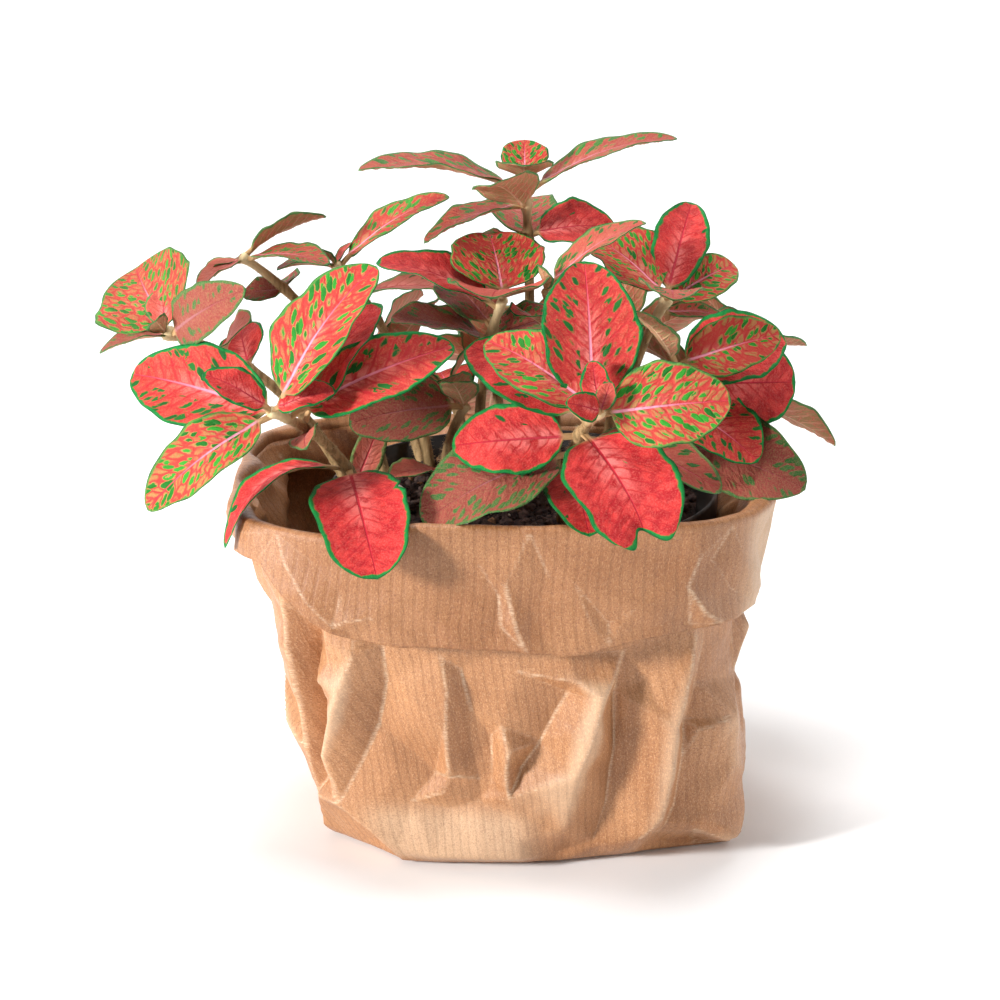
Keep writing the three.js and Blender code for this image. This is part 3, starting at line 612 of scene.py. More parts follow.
def soil_level(x, y):
    """Height of the mix's surface, as the model has it, with finer lumps."""
    lumps = np.sin(x * 0.31 + 1) * np.cos(y * 0.27) + 0.6 * np.sin(x * 0.13 - y * 0.19 + 2)
    fine = np.sin(x * 1.1 + 0.7 * np.sin(y * 0.9)) * np.sin(y * 1.3 + np.sin(x * 0.7))
    return SOIL_TOP - 0.0009 * (x * x + y * y) + 0.8 * lumps + 0.35 * fine


soil_rings, soil_steps = 44, 150
soil_points = [(*POT_MIDDLE, float(soil_level(*POT_MIDDLE)))]
lumpy = np.random.default_rng(21)
for ring in range(1, soil_rings + 1):
    for step in range(soil_steps):
        a, r = step * 2 * math.pi / soil_steps, SOIL_RADIUS * ring / soil_rings
        x, y = pot_place(r, a)
        inside = ring < soil_rings
        soil_points.append((x, y, float(soil_level(x, y)) + inside * lumpy.uniform(-0.45, 0.45)))
for radius, z in ((42.9, 77.8), (38, 40), (32.2, 3.2)):
    for step in range(soil_steps):
        a = step * 2 * math.pi / soil_steps
        soil_points.append((*pot_place(radius, a), z))
soil_points.append((*POT_MIDDLE, 3.2))
last_ring = 1 + (soil_rings + 2) * soil_steps
soil_faces = [face[::-1] for face in fan_faces(0, 1, soil_steps)]
soil_faces += [(a, d, c, b) for a, b, c, d in band_faces(1, soil_rings + 3, soil_steps)]
soil_faces += fan_faces(len(soil_points) - 1, last_ring, soil_steps)
soil = place_mesh("potting_mix", soil_points, soil_faces)

peat, tree, shader = finish_of("damp_peat", 0.95, 0.2)
place = object_place(tree)
coarse = noise(place, 260.0, 8.0, 0.7)
grains = shade(tree, "TexVoronoi", {"Vector": place, "Scale": 700.0}).outputs["Distance"]
peat_colour = blend_colours(ease(coarse, 0.35, 0.65), "1c1517", "41332f")
peat_colour = blend_colours(ease(grains, 0.75, 0.35, 0.0, 0.3), peat_colour, "5d4a40")
rough = sums("ADD", coarse, times(grains, -0.4))
paint(shader, peat_colour, rough, 1.0, 0.0012)
soil.data.materials.append(peat)
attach(soil, "root")
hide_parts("soil")

crumb_draw = np.random.default_rng(5)
golden = (1 + math.sqrt(5)) / 2
ball = np.array([(-1, golden, 0), (1, golden, 0), (-1, -golden, 0), (1, -golden, 0), (0, -1, golden),
                 (0, 1, golden), (0, -1, -golden), (0, 1, -golden), (golden, 0, -1), (golden, 0, 1),
                 (-golden, 0, -1), (-golden, 0, 1)]) / math.sqrt(1 + golden**2)
ball_faces = [(0, 11, 5), (0, 5, 1), (0, 1, 7), (0, 7, 10), (0, 10, 11), (1, 5, 9), (5, 11, 4), (11, 10, 2),
              (10, 7, 6), (7, 1, 8), (3, 9, 4), (3, 4, 2), (3, 2, 6), (3, 6, 8), (3, 8, 9), (4, 9, 5),
              (2, 4, 11), (6, 2, 10), (8, 6, 7), (9, 8, 1)]


def scattered_crumbs(name, count, small, large, flatness):
    """Irregular crumbs that lie on the mix, each half sunk into it."""
    points, faces = [], []
    for _ in range(count):
        r, a = (SOIL_RADIUS - 1) * math.sqrt(crumb_draw.random()), crumb_draw.uniform(0, 2 * math.pi)
        x, y = pot_place(r, a)
        size = small + (large - small) * crumb_draw.random() ** 1.6
        stretch = size * crumb_draw.uniform(0.6, 1.2, 3) * [1, 1, flatness]
        turn = np.linalg.qr(crumb_draw.normal(size=(3, 3)) + 2.5 * np.diag([1, 1, 3]))[0]
        shape = ball * crumb_draw.uniform(0.75, 1.25, (12, 1)) * stretch @ turn.T
        middle = np.array([x, y, float(soil_level(x, y)) + 0.25 * size * flatness])
        faces += [tuple(v + len(points) for v in f) for f in ball_faces]
        points += (shape + middle).tolist()
    return place_mesh(name, points, faces, smooth=False)


for name, finish, crumbs in (
    ("peat_crumbs", ("2a2021", "574640"), scattered_crumbs("peat_crumbs", 1500, 0.4, 1.7, 0.8)),
    ("bark_crumbs", ("4a3326", "8a6548"), scattered_crumbs("bark_crumbs", 130, 0.9, 2.6, 0.35)),
    ("perlite_crumbs", ("b9b0a4", "efeae0"), scattered_crumbs("perlite_crumbs", 46, 0.5, 1.5, 0.9)),
):
    material, tree, shader = finish_of(name + "_finish", 0.9, 0.2)
    place = object_place(tree)
    mottle = noise(place, 420.0, 4.0)
    pair = blend_colours(ease(mottle, 0.35, 0.65), *finish)
    paint(shader, pair, mottle, 0.7, 0.0004)
    crumbs.data.materials.append(material)
    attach(crumbs, "root")


# Leafy shoots
# Soft brown stems that root in the mix, with leaves in crosswise pairs, the smallest at the tip. A nerve
# plant's leaf is red with a pink midrib, a net of veins, green islands with a pale ring between them and a
# green border. Its underside is tan with the net raised.
STALK_COLOUR = "b99467"
vein_net = bpy.data.node_groups.new("vein_net", "ShaderNodeTree")
for name, kind in (("Place", "NodeSocketVector"), ("Share", "NodeSocketVector"), ("Seed", "NodeSocketFloat")):
    vein_net.interface.new_socket(name, in_out="INPUT", socket_type=kind)
group_in, group_out = vein_net.nodes.new("NodeGroupInput"), vein_net.nodes.new("NodeGroupOutput")
leaf_at, leaf_share, seed = (group_in.outputs[name] for name in ("Place", "Share", "Seed"))
sideways, upward, half_width = parts_of(leaf_at)
length_share, width_share, leaf_length = parts_of(leaf_share)
seed_move = shade(vein_net, "CombineXYZ", {2: times(seed, 97.0)}).outputs[0]
moved = shade(vein_net, "VectorMath", {0: leaf_at, 1: seed_move}, operation="ADD").outputs[0]
wander = noise(moved, 0.4, 3.0)
speckle = noise(moved, 2.6, 5.0, 0.7)
beside = sums("ABSOLUTE", sideways)
across = sums("ABSOLUTE", width_share)
climb = times(beside, times_plus(beside, 0.02, 0.75))
along = sums("SUBTRACT", upward, climb)
along = times_plus(sums("SUBTRACT", wander, 0.5), 2.0, along)
right_side = sums("GREATER_THAN", sideways, 0.0)
phase = sums("DIVIDE", along, times_plus(leaf_length, 0.085, 0.5))
phase = times_plus(right_side, 0.4, phase)
saw = sums("ABSOLUTE", sums("SUBTRACT", sums("FRACT", phase), 0.5))
side_veins = times(ease(saw, 0.32, 0.495), ease(across, 0.95, 0.5))
rib_width = times_plus(length_share, -0.8, 1.0)
rib_width = times(rib_width, times_plus(leaf_length, 0.011, 0.2))
midrib = ease(beside, rib_width, times(rib_width, 0.35))
cell_size = times_plus(leaf_length, 0.034, 0.85)
cell_at = shade(vein_net, "CombineXYZ", {
    0: sums("DIVIDE", sideways, times(cell_size, 1.35)),
    1: sums("DIVIDE", along, cell_size),
    2: times(seed, 61.0),
}).outputs[0]
flat_cells = {"Vector": cell_at, "Scale": 1.0, "Randomness": 0.8}
edges = shade(vein_net, "TexVoronoi", flat_cells, feature="DISTANCE_TO_EDGE")
cells = shade(vein_net, "TexVoronoi", flat_cells)
draws = parts_of(cells.outputs["Color"])
island = times_plus(draws[1], 0.24, 0.27)
island = times_plus(sums("SUBTRACT", speckle, 0.5), 0.14, island)
island = sums("SUBTRACT", island, cells.outputs["Distance"])
to_edge = times(sums("SUBTRACT", 1.0, across), half_width)
to_tip = times(sums("SUBTRACT", 1.0, length_share), leaf_length)
to_edge = sums("MINIMUM", to_edge, to_tip)
margin = times_plus(sums("SUBTRACT", wander, 0.5), 1.6, to_edge)
for name, socket in (
    ("Midrib", midrib), ("Side Veins", side_veins), ("Cell Edge", edges.outputs["Distance"]),
    ("Island Reach", island), ("Island Chance", draws[0]), ("Margin", margin), ("Speckle", speckle),
    ("Wander", wander),
):
    vein_net.interface.new_socket(name, in_out="OUTPUT", socket_type="NodeSocketFloat")
    vein_net.links.new(socket, group_out.inputs[name])


def veins_of(tree):
    """The vein net of a leaf, the leaf's own look, and how far along and across a place is."""
    place = attribute(tree, "blade_place")["Vector"]
    share = attribute(tree, "blade_share")["Vector"]
    look = attribute(tree, "leaf_look")
    own = shade(tree, "SeparateColor", {0: look["Color"]})
    net = tree.nodes.new("ShaderNodeGroup")
    net.node_tree = vein_net
    tree.links.new(place, net.inputs["Place"])
    tree.links.new(share, net.inputs["Share"])
    tree.links.new(look["Alpha"], net.inputs["Seed"])
    return net.outputs, own.outputs, parts_of(share)


leaf_face, tree, shader = finish_of("leaf_upper_face", 0.5, 0.2)
net, look, share = veins_of(tree)
islands, dull, pink = look
across = sums("ABSOLUTE", share[1])
midrib, side_veins, cell = net["Midrib"], net["Side Veins"], net["Cell Edge"]
reach, chance, margin = net["Island Reach"], net["Island Chance"], net["Margin"]
speckle, wander = net["Speckle"], net["Wander"]
red = blend_colours(ease(wander, 0.35, 0.65), "aa0e19", "d23431")
red = blend_colours(times(ease(speckle, 0.42, 0.7), 0.4), red, "ea7a70")
red = blend_colours(times(pink, 0.8), red, "c87862")
mosaic_ground = blend_colours(ease(speckle, 0.35, 0.65), "c84238", "bc6f49")
glow = times(ease(across, 0.5, 0.0), ease(share[0], 0.85, 0.15, 0.0, 0.6))
glow = times(glow, ease(wander, 0.3, 0.55))
glow = times(glow, times_plus(side_veins, -0.8, 1.0))
crimson = blend_colours(ease(islands, 0.6, 1.0, 0.0, 0.6), "b00c24", "c83c36")
crimson = blend_colours(pink, crimson, "c25a4c")
cream = times(ease(cell, 0.07, 0.2), ease(islands, 0.6, 1.0, 0.0, 0.85))
cream_colour = blend_colours(ease(speckle, 0.4, 0.65), "b87048", "a4924c")
line_width = ease(islands, 0.3, 1.0, 0.1, 0.2)
lines = times(ease(cell, line_width, 0.03), times_plus(islands, 0.5, 0.2))
vein_colour = blend_colours(ease(islands, 0.12, 0.4), "a81422", crimson)
thin = ease(side_veins, 0.55, 1.0)
veining = blend_colours(ease(islands, 0.12, 0.4), thin, side_veins)
veining = times(veining, ease(islands, 0.12, 0.4, 0.55, 0.75))
inner = times_plus(islands, -0.4, 0.5)
zone = times(ease(sums("SUBTRACT", across, inner), -0.15, 0.1), ease(share[0], 1.0, 0.7, 0.35, 1.0))
zone = times(zone, ease(wander, 0.3, 0.5, 0.6, 1.0))
lucky = sums("LESS_THAN", chance, times(ease(islands, 0.0, 0.65, 0.0, 0.82), zone))
ring = times(lucky, ease(reach, -0.12, -0.07))
core = times(lucky, ease(reach, -0.05, 0.0))
ring_colour = blend_colours(ease(islands, 0.3, 0.8), "7d3f26", "9a8c4a")
green = blend_colours(ease(chance, 0.0, 0.6), "14691c", "33962a")
green = blend_colours(ease(islands, 0.85, 0.5, 0.0, 0.75), green, "0a5220")
rib_colour = blend_colours(ease(share[0], 0.2, 0.9), "f09ab0", "d53a4c")
rib_colour = blend_colours(ease(islands, 0.05, 0.4), "b81f30", rib_colour)
border = times_plus(islands, -0.55, 1.3)
border = times(border, ease(share[2], -8.0, 34.0))
rim = ease(margin, border, times(border, 0.62))
rim_green = blend_colours(ease(islands, 0.55, 0.95), "0b7c34", "5f8a3c")
rim_green = blend_colours(times(pink, 0.8), rim_green, "93925a")
# Painted shade: a darker, greyer copy of the leaf's colours, for leaves at the back and under others.
dusk = blend_colours(sums("MAXIMUM", core, rim), "7c3c36", "2c6a30")
dusk = blend_colours(ease(speckle, 0.4, 0.7), dusk, "8d6f4e")
leaf_colour = layered(
    blend_colours(times(islands, 0.75), red, mosaic_ground),
    (glow, "f59a93"),
    (cream, cream_colour),
    (lines, crimson),
    (times(veining, ease(speckle, 0.35, 0.6, 0.4, 1.0)), vein_colour),
    (times(ring, 0.85), ring_colour),
    (core, green),
    (midrib, rib_colour),
    (rim, rim_green),
    (ease(margin, 0.3, 0.0, 0.0, 0.8), "0a5a2c"),
    # the painted shade, by how dull and shaded the leaf is
    (times(dull, 0.85), dusk),
    (ease(share[0], 0.05, -0.02), STALK_COLOUR),
)
puff = ease(cell, 0.02, 0.25)
hollow = sums("ADD", times(side_veins, -0.2), times(midrib, -0.6))
relief = sums("ADD", times(puff, times_plus(islands, 0.35, 0.2)), hollow)
relief = times_plus(speckle, 0.85, relief)
paint(shader, leaf_colour, relief, 0.8, 0.0004)
tree.links.new(ease(speckle, 0.2, 0.8, 0.48, 0.66), shader.inputs["Roughness"])

leaf_back, tree, shader = finish_of("leaf_underside", 0.65, 0.3)
net, look, share = veins_of(tree)
raised = ease(net["Cell Edge"], 0.09, 0.02)
tan = layered(
    blend_colours(ease(net["Speckle"], 0.35, 0.65), "bb8662", "d6a882"),
    (ease(look[2], 0.3, 0.0, 0.0, 0.4), "b4483c"),
    (times(ease(net["Cell Edge"], 0.05, 0.2), 0.5), "a09a62"),
    (times(raised, 0.6), "d8806a"),
    (times(net["Side Veins"], 0.6), "dfae8c"),
    (net["Midrib"], "e4c09a"),
    (ease(net["Margin"], 0.7, 0.4), "5b8c50"),
    (ease(share[0], 0.05, -0.02), STALK_COLOUR),
)
relief = sums("ADD", times(raised, 0.4), times(net["Side Veins"], 0.5))
paint(shader, tan, relief, 0.7, 0.0004)

stem_skin, tree, shader = finish_of("stem_skin", 0.75, 0.3)
place = object_place(tree)
strand_at = stretched(place, (900.0, 900.0, 150.0))
strand = noise(strand_at, 1.0, 4.0)
young = parts_of(attribute(tree, "blade_share")["Vector"])[0]
bark = blend_colours(ease(strand, 0.35, 0.65), "7a6340", "a98a60")
bark = blend_colours(ease(young, 0.82, 1.0, 0.0, 0.85), bark, "d8c397")
paint(shader, bark, strand, 0.6, 0.0003)

# Each shoot: its root, bend and top, the way its tip looks, and its leaves.
# A leaf: how far down the stem, turn, opening, length, width, roll, look, and an arch or a tip where it
# differs.
# A look's dullness is partly painted shade: it darkens and greys the leaves that stand at the back or under
# others.
LOOKS = {
    "netted": (1.0, 0.0, 0.05),
    "mosaic": (0.78, 0.0, 0.0),
    "faded": (0.85, 0.3, 0.0),
    "mixed": (0.5, 0.0, 0.0),
    "red": (0.1, 0.0, 0.0),
    "plain": (0.02, 0.0, 0.0),
    "dull": (0.6, 0.9, 0.15),
    "dusk": (0.7, 0.6, 0.1),
    "pink": (0.1, 0.25, 0.85),
    "tan": (0.55, 0.35, 0.6),
    "young": (0.15, 0.1, 0.45),
}  # share of green islands, dullness, pinkness
SHOOTS = {
    "shoot_front_left": ((-40, -18), (-42, -24, 104), (-63, -48, 119), (-0.45, -0.62, 0.64), [
        (0, 150, 45, 18, 10, 25, "red"), (0, 10, 100, 16, 10, -15, "red"),
        (2, -145, 80, 37, 18, 0, "netted"), (2, 46, 83, 41, 23, -5, "mosaic"),
        (6, 155, 80, 44, 21, 0, "mixed"), (6, 22, 105, 42, 17, 12, "mixed"),
        (33, -68, 74, 42, 22, -26, "plain", 0.12, "blunt"), (33, -144, 72, 35, 13, 30, "red", 0.25),
        (12, 50, 85, 34, 22, -15, "red"), (15, -66, 50, 15, 8, 0, "pink"),
    ]),
    "shoot_far_left": ((-43, 2), (-56, 0, 116), (-91, -14, 129), (-0.5, -0.35, 0.75), [
        (1, 108, 74, 25, 27, 0, "faded"), (2, -28, 70, 38, 13, 48, "dull"),
        (0, 85, 75, 14, 9, 15, "young"), (0, -60, 40, 10, 6, 0, "young"),
        (3, -163, 64, 19, 11, 18, "dull"), (24, 100, 85, 17, 13, 0, "red"),
        (16, -21, 60, 18, 12, 0, "pink"), (66, 12, 52, 25, 8, 80, "pink"),
    ]),
    "shoot_back_left": ((-38, 20), (-44, 20, 120), (-74, 10, 142), (-0.3, 0.1, 0.95), [
        (0, 11, 82, 23, 12, -20, "dusk"), (1, -34, 104, 25, 13, 0, "dusk"),
        (1, -164, 100, 14, 12, -10, "pink"), (1, 146, 100, 12, 9, 0, "dull"),
        (14, 175, 80, 11, 8, -40, "dull"), (14, 110, 95, 24, 15, 0, "dusk"),
        (30, -107, 95, 22, 12, 30, "dusk"),
    ]),
    "shoot_mid_left": ((-27, 26), (-30, 26, 112), (-51.5, 20, 138), (-0.1, 0.1, 0.98), [
        (1, 0, 63, 33, 13, 22, "faded"), (1, -162, 84, 16, 11, 0, "dull"),
        (0, 30, 45, 7, 4, 0, "young"), (0, -150, 45, 7, 4, 0, "young"),
        (10, -5, 95, 26, 12, 10, "pink"), (18, 160, 92, 16, 12, 0, "dusk"),
    ]),
    "shoot_centre": ((-14, 4), (-18, 4, 112), (-9, -4, 135), (0.05, -0.15, 0.98), [
        (0, 102, 64, 22, 24, 0, "netted"), (0, -98, 67, 24, 24, 5, "young"),
        (9, 124, 77, 22, 18, 0, "dull"), (3, 176, 72, 32, 20, 0, "red"),
        (12, 25, 84, 24, 17, 0, "dusk"), (12, -165, 75, 26, 17, 0, "dull"),
    ]),
    "shoot_middle": ((3, -2), (5, -2, 112), (1, -12, 139), (0.1, -0.1, 0.98), [
        (0, 14, 52, 29, 15, -6, "tan"), (0, -140, 25, 8, 5, 0, "young"),
        (12, -125, 62, 19, 13, 0, "mixed"),
    ]),
    "shoot_top": ((-4, 20), (-1, 22, 125), (-4, 14, 161), (0, 0, 1), [
        (0, 90, 38, 11, 12, 0, "mosaic"), (0, -92, 62, 12, 14, 0, "young"),
        (4, -172, 80, 42, 20, 0, "dusk"), (4, 8, 71, 40, 13, 5, "dusk"),
        (7, -170, 108, 27, 16, 0, "dusk"), (8, -112, 66, 26, 16, 20, "dull"),
        (15, 2, 86, 22, 18, 25, "red"), (17, 95, 80, 30, 18, 0, "dusk"), (19, 178, 85, 16, 15, 0, "dull"),
    ]),
    "shoot_right": ((16, 12), (20, 12, 112), (31, 0, 134), (0.2, -0.1, 0.97), [
        (0, 160, 68, 26, 24, -14, "mosaic"), (1, 81, 55, 32, 14, 0, "red"),
        (2, 45, 72, 26, 13, 25, "netted"), (0, -94, 71, 27, 16, 5, "tan"), (5, 25, 92, 20, 6, 20, "tan"),
    ]),
    "shoot_far_right": ((25, -4), (30, -4, 104), (32, -21, 123), (0.5, -0.45, 0.7), [
        (0, -166, 60, 31, 10, 45, "pink"), (0, 14, 46, 26, 14, 20, "netted"),
        (4, 28, 62, 30, 20, 0, "red"), (8, 12, 70, 32, 24, 32, "red"),
        (14, -46, 68, 28, 20, 17, "mixed"), (26, -42, 54, 41, 23, 34, "dull"),
    ]),
    "shoot_front_right": ((5, -20), (4, -30, 108), (13, -55, 121), (0.1, -0.75, 0.65), [
        (0, 100, 75, 12, 7, -15, "red"), (0, 70, 42, 8, 5, 0, "young"), (0, -169, 49, 12, 7, -19, "red"),
        (2, 142, 98, 32, 19, 8, "mosaic"), (3, 3, 76, 31, 20, 15, "netted"),
        (6, 94, 76, 37, 23, 0, "mixed"), (9, 139, 106, 37, 18, 0, "red"),
        (15, -66, 72, 38, 25, 0, "plain", 0.12, "notched"), (17, 181, 104, 30, 17, -15, "red"),
        (18, -28, 74, 37, 17, -25, "tan"), (32, -84, 53, 30, 17, 0, "red"),
        (25, -151, 90, 40, 26, 25, "dull"),
    ]),
    "shoot_low": ((-24, -6), (-26, -4, 98), (-18, -4, 108), (-0.2, -0.3, 0.9), [
        (0, -170, 82, 29, 20, -25, "dull"), (0, -102, 24, 12, 10, 0, "pink"),
        (18, -135, 60, 18, 11, 0, "pink"),
    ]),
}


# Shoots of the back half follow one rule: pairs set crosswise, older and wider apart further down.
BACK_SHOOTS = {
    "shoot_back_1": ((-28, 30), (-34, 38, 102), (-49, 48, 110), 120, 3),
    "shoot_back_2": ((-8, 38), (-10, 44, 100), (-14, 58, 108), 100, 3),
    "shoot_back_3": ((16, 32), (20, 38, 104), (25, 54, 114), 70, 3),
    "shoot_back_4": ((32, 14), (42, 20, 104), (52, 30, 112), 0, 3),
    "shoot_back_5": ((-14, 22), (-20, 26, 98), (-24, 30, 104), 0, 2),
}
BACK_LOOKS = ("mosaic", "mixed", "red", "dusk", "mixed", "mosaic")
for name, (root, bend, top, turn, pairs) in BACK_SHOOTS.items():
    state = ord(name[-1]) * 7919 + 17
    draws = []
    for _ in range(6 * pairs):
        state = (state * 16807) % 2147483647
        draws.append(state / 2147483647)
    leaves = []
    for pair in range(pairs):
        for half in (0, 180):
            size, facing, spread = draws[:3]
            draws = draws[3:]
            length = 17 + 8 * pair + 4 * size
            kind = BACK_LOOKS[(pair * 2 + half // 180 + ord(name[-1])) % 6]
            leaves.append((
                pair * 7, turn + 90 * pair + half + 16 * (facing - 0.5), 52 + 15 * pair + 8 * spread,
                length, length * 0.58, 0, kind,
            ))
    axis = np.subtract(top, bend) + [0, 0, 8]
    SHOOTS[name] = (root, bend, top, tuple(axis), leaves)

STALK = 0.12  # share of a leaf's length that is stalk
STALK_THICK, BLADE_THICK = 1.35, 0.42
USUAL_LEAF = (0.09, "")  # arch and tip of a leaf that names none
STEM_DEPTH = 12  # how deep a stem stands in the mix
STEM_FOOT_RADIUS, STEM_TIP_RADIUS = 1.6, 1.0


def blade_half(share, width, tip):
    """Half the width of a leaf at a share of its length, stalk and blade in one."""
    s = np.clip((share - STALK) / (1 - STALK), 0, 1)
    blade = np.sin(np.pi * s**0.85).clip(0) ** 0.52
    if tip:
        last = ((s - 0.4) / 0.6).clip(0, 1) ** 4 * (0.75 if tip == "notched" else 1)
        blade = np.where(s > 0.4, np.maximum(blade, 0.97 * (1 - last) ** 0.5), blade)
    stalk = 0.8 * np.clip(1 - s * 3, 0, 1)
    return np.sqrt((blade * width / 2) ** 2 + stalk**2)


def leaf_mesh(base, way, up, length, width, arch, phase, look, seed, tip):
    """Points, faces, material numbers and stored values of one leaf, a thin closed blade on its stalk."""
    side = np.cross(way, up)
    rows_in_stalk = 4
    rows_in_blade = int(np.clip(length * 1.05, 12, 46))
    columns = 2 * int(np.clip(width * 0.55, 4, 13)) + 1
    s = np.linspace(0, 1, rows_in_blade + 1)
    s = 0.5 * s + 0.5 * (1 - (1 - s) ** 1.7)
    shares = np.concatenate([np.linspace(0, STALK, rows_in_stalk, endpoint=False), STALK + s * (1 - STALK)])
    t = np.linspace(-1, 1, columns)
    t = np.sign(t) * np.abs(t) ** 0.85
    share, col = np.meshgrid(shares, t, indexing="ij")
    on_blade = (share - STALK) / (1 - STALK)
    half = np.maximum(blade_half(share, width, tip), 0.06)
    waves = 0.03 * np.sin(on_blade * 11 + 2 * phase + 2 * (col > 0))
    waves = waves + 0.018 * np.sin(on_blade * 27 + 3 * phase + (col > 0))
    half = half * (1 + waves * np.clip(on_blade * 8, 0, 1))
    if tip == "blunt":
        half = half * (1 - 0.16 * np.clip(1 - np.abs(on_blade - 0.4) / 0.05, 0, 1) * (col < 0))
    x, y = col * half, share * length
    if tip == "notched":
        split_tip = np.exp(-(((col - 0.1) / 0.4) ** 2)) + 0.3 * col**6
        y = y - 0.16 * length * split_tip * np.clip((on_blade - 0.55) / 0.45, 0, 1) ** 2
    lift = arch * length * 4 * share * (1 - share) + 0.2 * half * col**2
    lift += 0.06 * half * np.sin(share * 14 + phase + np.where(col > 0, 2, 0)) * col**2
    lift += 0.015 * half * np.sin(share * 37 + 3 * phase + np.where(col > 0, 1, 0)) * np.abs(col) ** 3
    spacing = 0.085 * length + 0.5
    vein = np.cos(2 * np.pi * ((y - 0.5 * abs(x) - 0.022 * x * x) / spacing + np.where(x > 0, 0.4, 0)))
    grown = np.clip(on_blade * 6, 0, 1) * (1 - col**6)
    swell = 0.4 - np.clip(vein, -0.2, 1) ** 3
    quilt = 0.009 * min(length, 34) * grown * swell * np.clip(abs(x) / 1.5, 0, 1)
    ridge = np.exp(-((x / 0.85) ** 2)) * np.clip(1 - on_blade * 1.1, 0, 1)
    rib = ridge * np.clip(on_blade * 5, 0, 1)
    thick = np.where(share < STALK, STALK_THICK, BLADE_THICK - 0.2 * col**2 * np.clip(on_blade * 9, 0, 1))
    thick = thick + np.clip(0.9 - np.abs(on_blade) * 9, 0, 1) * (share >= STALK) * (1 - col**2)
    stalk_round = np.sqrt(np.clip(1 - (col * 0.97) ** 2, 0, 1))
    thick = np.where(share < STALK, thick * stalk_round, thick)
    top, bottom = lift + quilt + thick / 2 - 0.35 * rib, lift + quilt - thick / 2 - 0.55 * rib
    flat = base + way * y[..., None] + side * x[..., None]
    upper, lower = flat + up * top[..., None], flat + up * bottom[..., None]
    ring = 2 * columns
    points = np.concatenate([upper, lower[:, ::-1]], axis=1).reshape(-1, 3)
    place = np.stack([x, y - STALK * length, np.maximum(half, 0.4 * half.max())], -1)
    shared = np.stack([on_blade, col, np.full(x.shape, length)], -1)
    place = np.concatenate([place, place[:, ::-1]], axis=1).reshape(-1, 3)
    shared = np.concatenate([shared, shared[:, ::-1]], axis=1).reshape(-1, 3)
    faces = band_faces(0, len(shares), ring)
    finish = [0 if i < columns or i == ring - 1 else 1 for i in range(ring)] * (len(shares) - 1)
    for row, turned in ((0, False), (len(shares) - 1, True)):
        for i in range(columns - 1):
            quad = [row * ring + k for k in (i, i + 1, ring - 2 - i, ring - 1 - i)]
            faces.append(tuple(quad[::-1] if not turned else quad))
            finish.append(0)
    looks = np.tile([*look, seed], (len(points), 1))
    return points, faces, finish, place, shared, looks


def stem_mesh(line, swellings):
    """The same of a round stem along a line, with a knee under each pair of leaves, and its outward ways."""
    sides = 14
    lengths = length_along(line)
    total = lengths[-1]
    steps = max(24, int(total / 1.3))
    at = np.concatenate([np.linspace(0, total - 0.6, steps), [total - 0.25, total]])
    centre = np.stack([np.interp(at, lengths, line[:, i]) for i in range(3)], -1)
    ahead = np.gradient(centre, axis=0)
    ahead /= np.linalg.norm(ahead, axis=1)[:, None]
    first = np.cross(ahead, [0.3, 1, 0.1])
    first /= np.linalg.norm(first, axis=1)[:, None]
    second = np.cross(ahead, first)
    radius = STEM_FOOT_RADIUS + (STEM_TIP_RADIUS - STEM_FOOT_RADIUS) * at / total
    for place in swellings:
        radius = radius * (1 + 0.28 * np.exp(-(((total - at - place) / 1.5) ** 2)))
    radius[-2:] *= [0.8, 0.25]
    around = np.arange(sides) * 2 * math.pi / sides
    points = centre[:, None] + radius[:, None, None] * (
        first[:, None] * np.cos(around)[None, :, None] + second[:, None] * np.sin(around)[None, :, None]
    )
    count = len(centre)
    points = points.reshape(-1, 3)
    faces = band_faces(0, count, sides)
    faces += [tuple(range(sides))[::-1], tuple((count - 1) * sides + i for i in range(sides))]
    share = np.repeat(at / total, sides)
    shared = np.stack([share, np.zeros(len(share)), np.full(len(share), total)], -1)
    outward = (points.reshape(count, sides, 3) - centre[:, None]).reshape(-1, 3)
    none = np.zeros((len(points), 4))
    return (points, faces, [2] * len(faces), none[:, :3], shared, none), outward


def unit(v):
    """A vector made one long."""
    return np.asarray(v, float) / np.linalg.norm(v)


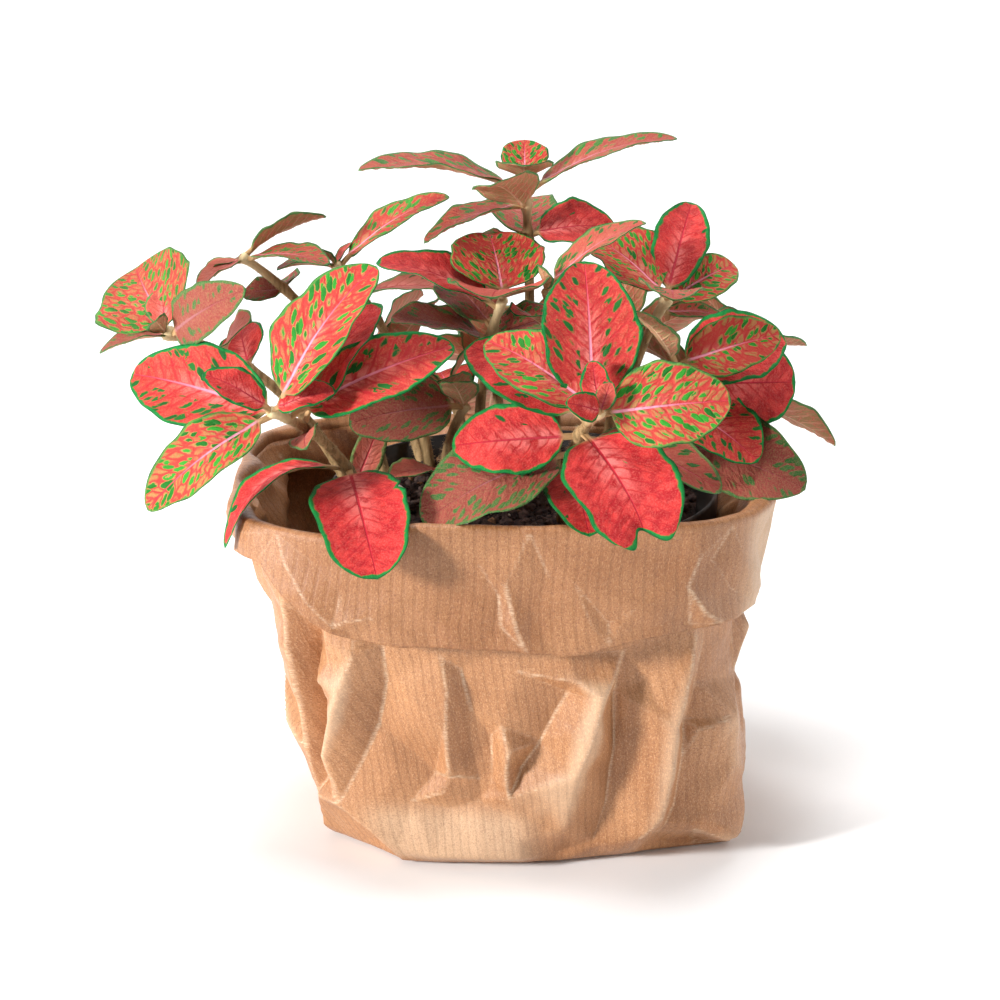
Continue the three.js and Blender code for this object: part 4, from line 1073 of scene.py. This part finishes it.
hair_roots = []
for name, (root, bend, top, axis, leaves) in SHOOTS.items():
    ahead = unit(axis)
    right = unit(np.array([1, 0, 0]) - ahead * ahead[0])
    back = np.cross(ahead, right)
    foot = np.array([*root, float(SOIL_TOP - STEM_DEPTH)])
    bend, top = np.array(bend, float), np.array(top, float)
    u = np.linspace(0, 1, 201)[:, None]
    line = (1 - u) ** 2 * foot + 2 * u * (1 - u) * bend + u**2 * top
    lengths = length_along(line)
    parts = []
    for index, (down, turn, opening, length, width, roll, kind, *more) in enumerate(leaves):
        arch, tip = (*more, *USUAL_LEAF[len(more):])
        along_stem = max(0, lengths[-1] - down - 0.8)
        base = np.array([np.interp(along_stem, lengths, line[:, i]) for i in range(3)])
        turn, opening, roll = map(math.radians, (turn, opening, roll))
        out = right * math.cos(turn) + back * math.sin(turn)
        way = out * math.sin(opening) + ahead * math.cos(opening)
        up = ahead * math.sin(opening) - out * math.cos(opening)
        up = up * math.cos(roll) + np.cross(way, up) * math.sin(roll)
        seed = (index * 0.37 + len(name) * 0.113 + ord(name[6]) * 0.031) % 1
        phase = index * 1.7 + len(name)
        parts.append(leaf_mesh(base, way, up, length, width, arch, phase, LOOKS[kind], seed, tip))
    stem, outward = stem_mesh(line, sorted({leaf[0] for leaf in leaves}))
    parts.append(stem)
    starts = np.cumsum([0] + [len(part[0]) for part in parts]).tolist()
    faces = [tuple(v + start for v in f) for start, part in zip(starts, parts) for f in part[1]]
    finish = [number for part in parts for number in part[2]]
    points, place, shared, looks = (np.concatenate([part[k] for part in parts]) for k in (0, 3, 4, 5))
    shoot = place_mesh(name + "_foliage", points, faces)
    for stored_name, kind, key, rows in (
        ("blade_place", "FLOAT_VECTOR", "vector", place),
        ("blade_share", "FLOAT_VECTOR", "vector", shared),
        ("leaf_look", "FLOAT_COLOR", "color", looks),
    ):
        stored = shoot.data.attributes.new(stored_name, kind, "POINT")
        stored.data.foreach_set(key, rows.ravel())
    for material in (leaf_face, leaf_back, stem_skin):
        shoot.data.materials.append(material)
    shoot.data.polygons.foreach_set("material_index", finish)
    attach(shoot, "root")
    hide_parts(name)
    above = stem[0][:, 2] > SOIL_TOP - 1
    hair_roots.append((stem[0][above], outward[above]))


# Stem hairs
# The short pale down that grows on the stems, most of it upright on the skin.
# Each hair is a slim three-sided spike with its foot in the stem.
HAIRS_PER_STEM = 800
HAIR_RADIUS = 0.04
hair_finish, tree, shader = finish_of("stem_hair", 0.7, 0.3)
place = object_place(tree)
tint = noise(place, 900.0)
tree.links.new(blend_colours(tint, "8a6a4a", "d8bf98"), shader.inputs["Base Color"])

hair_draw = np.random.default_rng(11)
hair_points, hair_faces = [], []
for roots, outward in hair_roots:
    for i in hair_draw.integers(0, len(roots), HAIRS_PER_STEM):
        out = unit(outward[i])
        lean = unit(out + hair_draw.normal(0, 0.35, 3))
        across = unit(np.cross(lean, [0.2, 0.3, 1]))
        other = np.cross(lean, across)
        foot = roots[i] + hair_draw.normal(0, 0.25, 3) * (1 - np.abs(out)) - out * 0.1
        size = hair_draw.uniform(0.5, 1.3)
        start = len(hair_points)
        for k in range(3):
            a = k * 2 * math.pi / 3
            hair_points.append(foot + HAIR_RADIUS * (across * math.cos(a) + other * math.sin(a)))
        hair_points.append(foot + lean * size)
        spike = ((0, 1, 3), (1, 2, 3), (2, 0, 3), (2, 1, 0))
        hair_faces += [tuple(start + k for k in face) for face in spike]
hairs = place_mesh("stem_hairs", hair_points, hair_faces, smooth=False)
hairs.data.materials.append(hair_finish)
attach(hairs, "root")
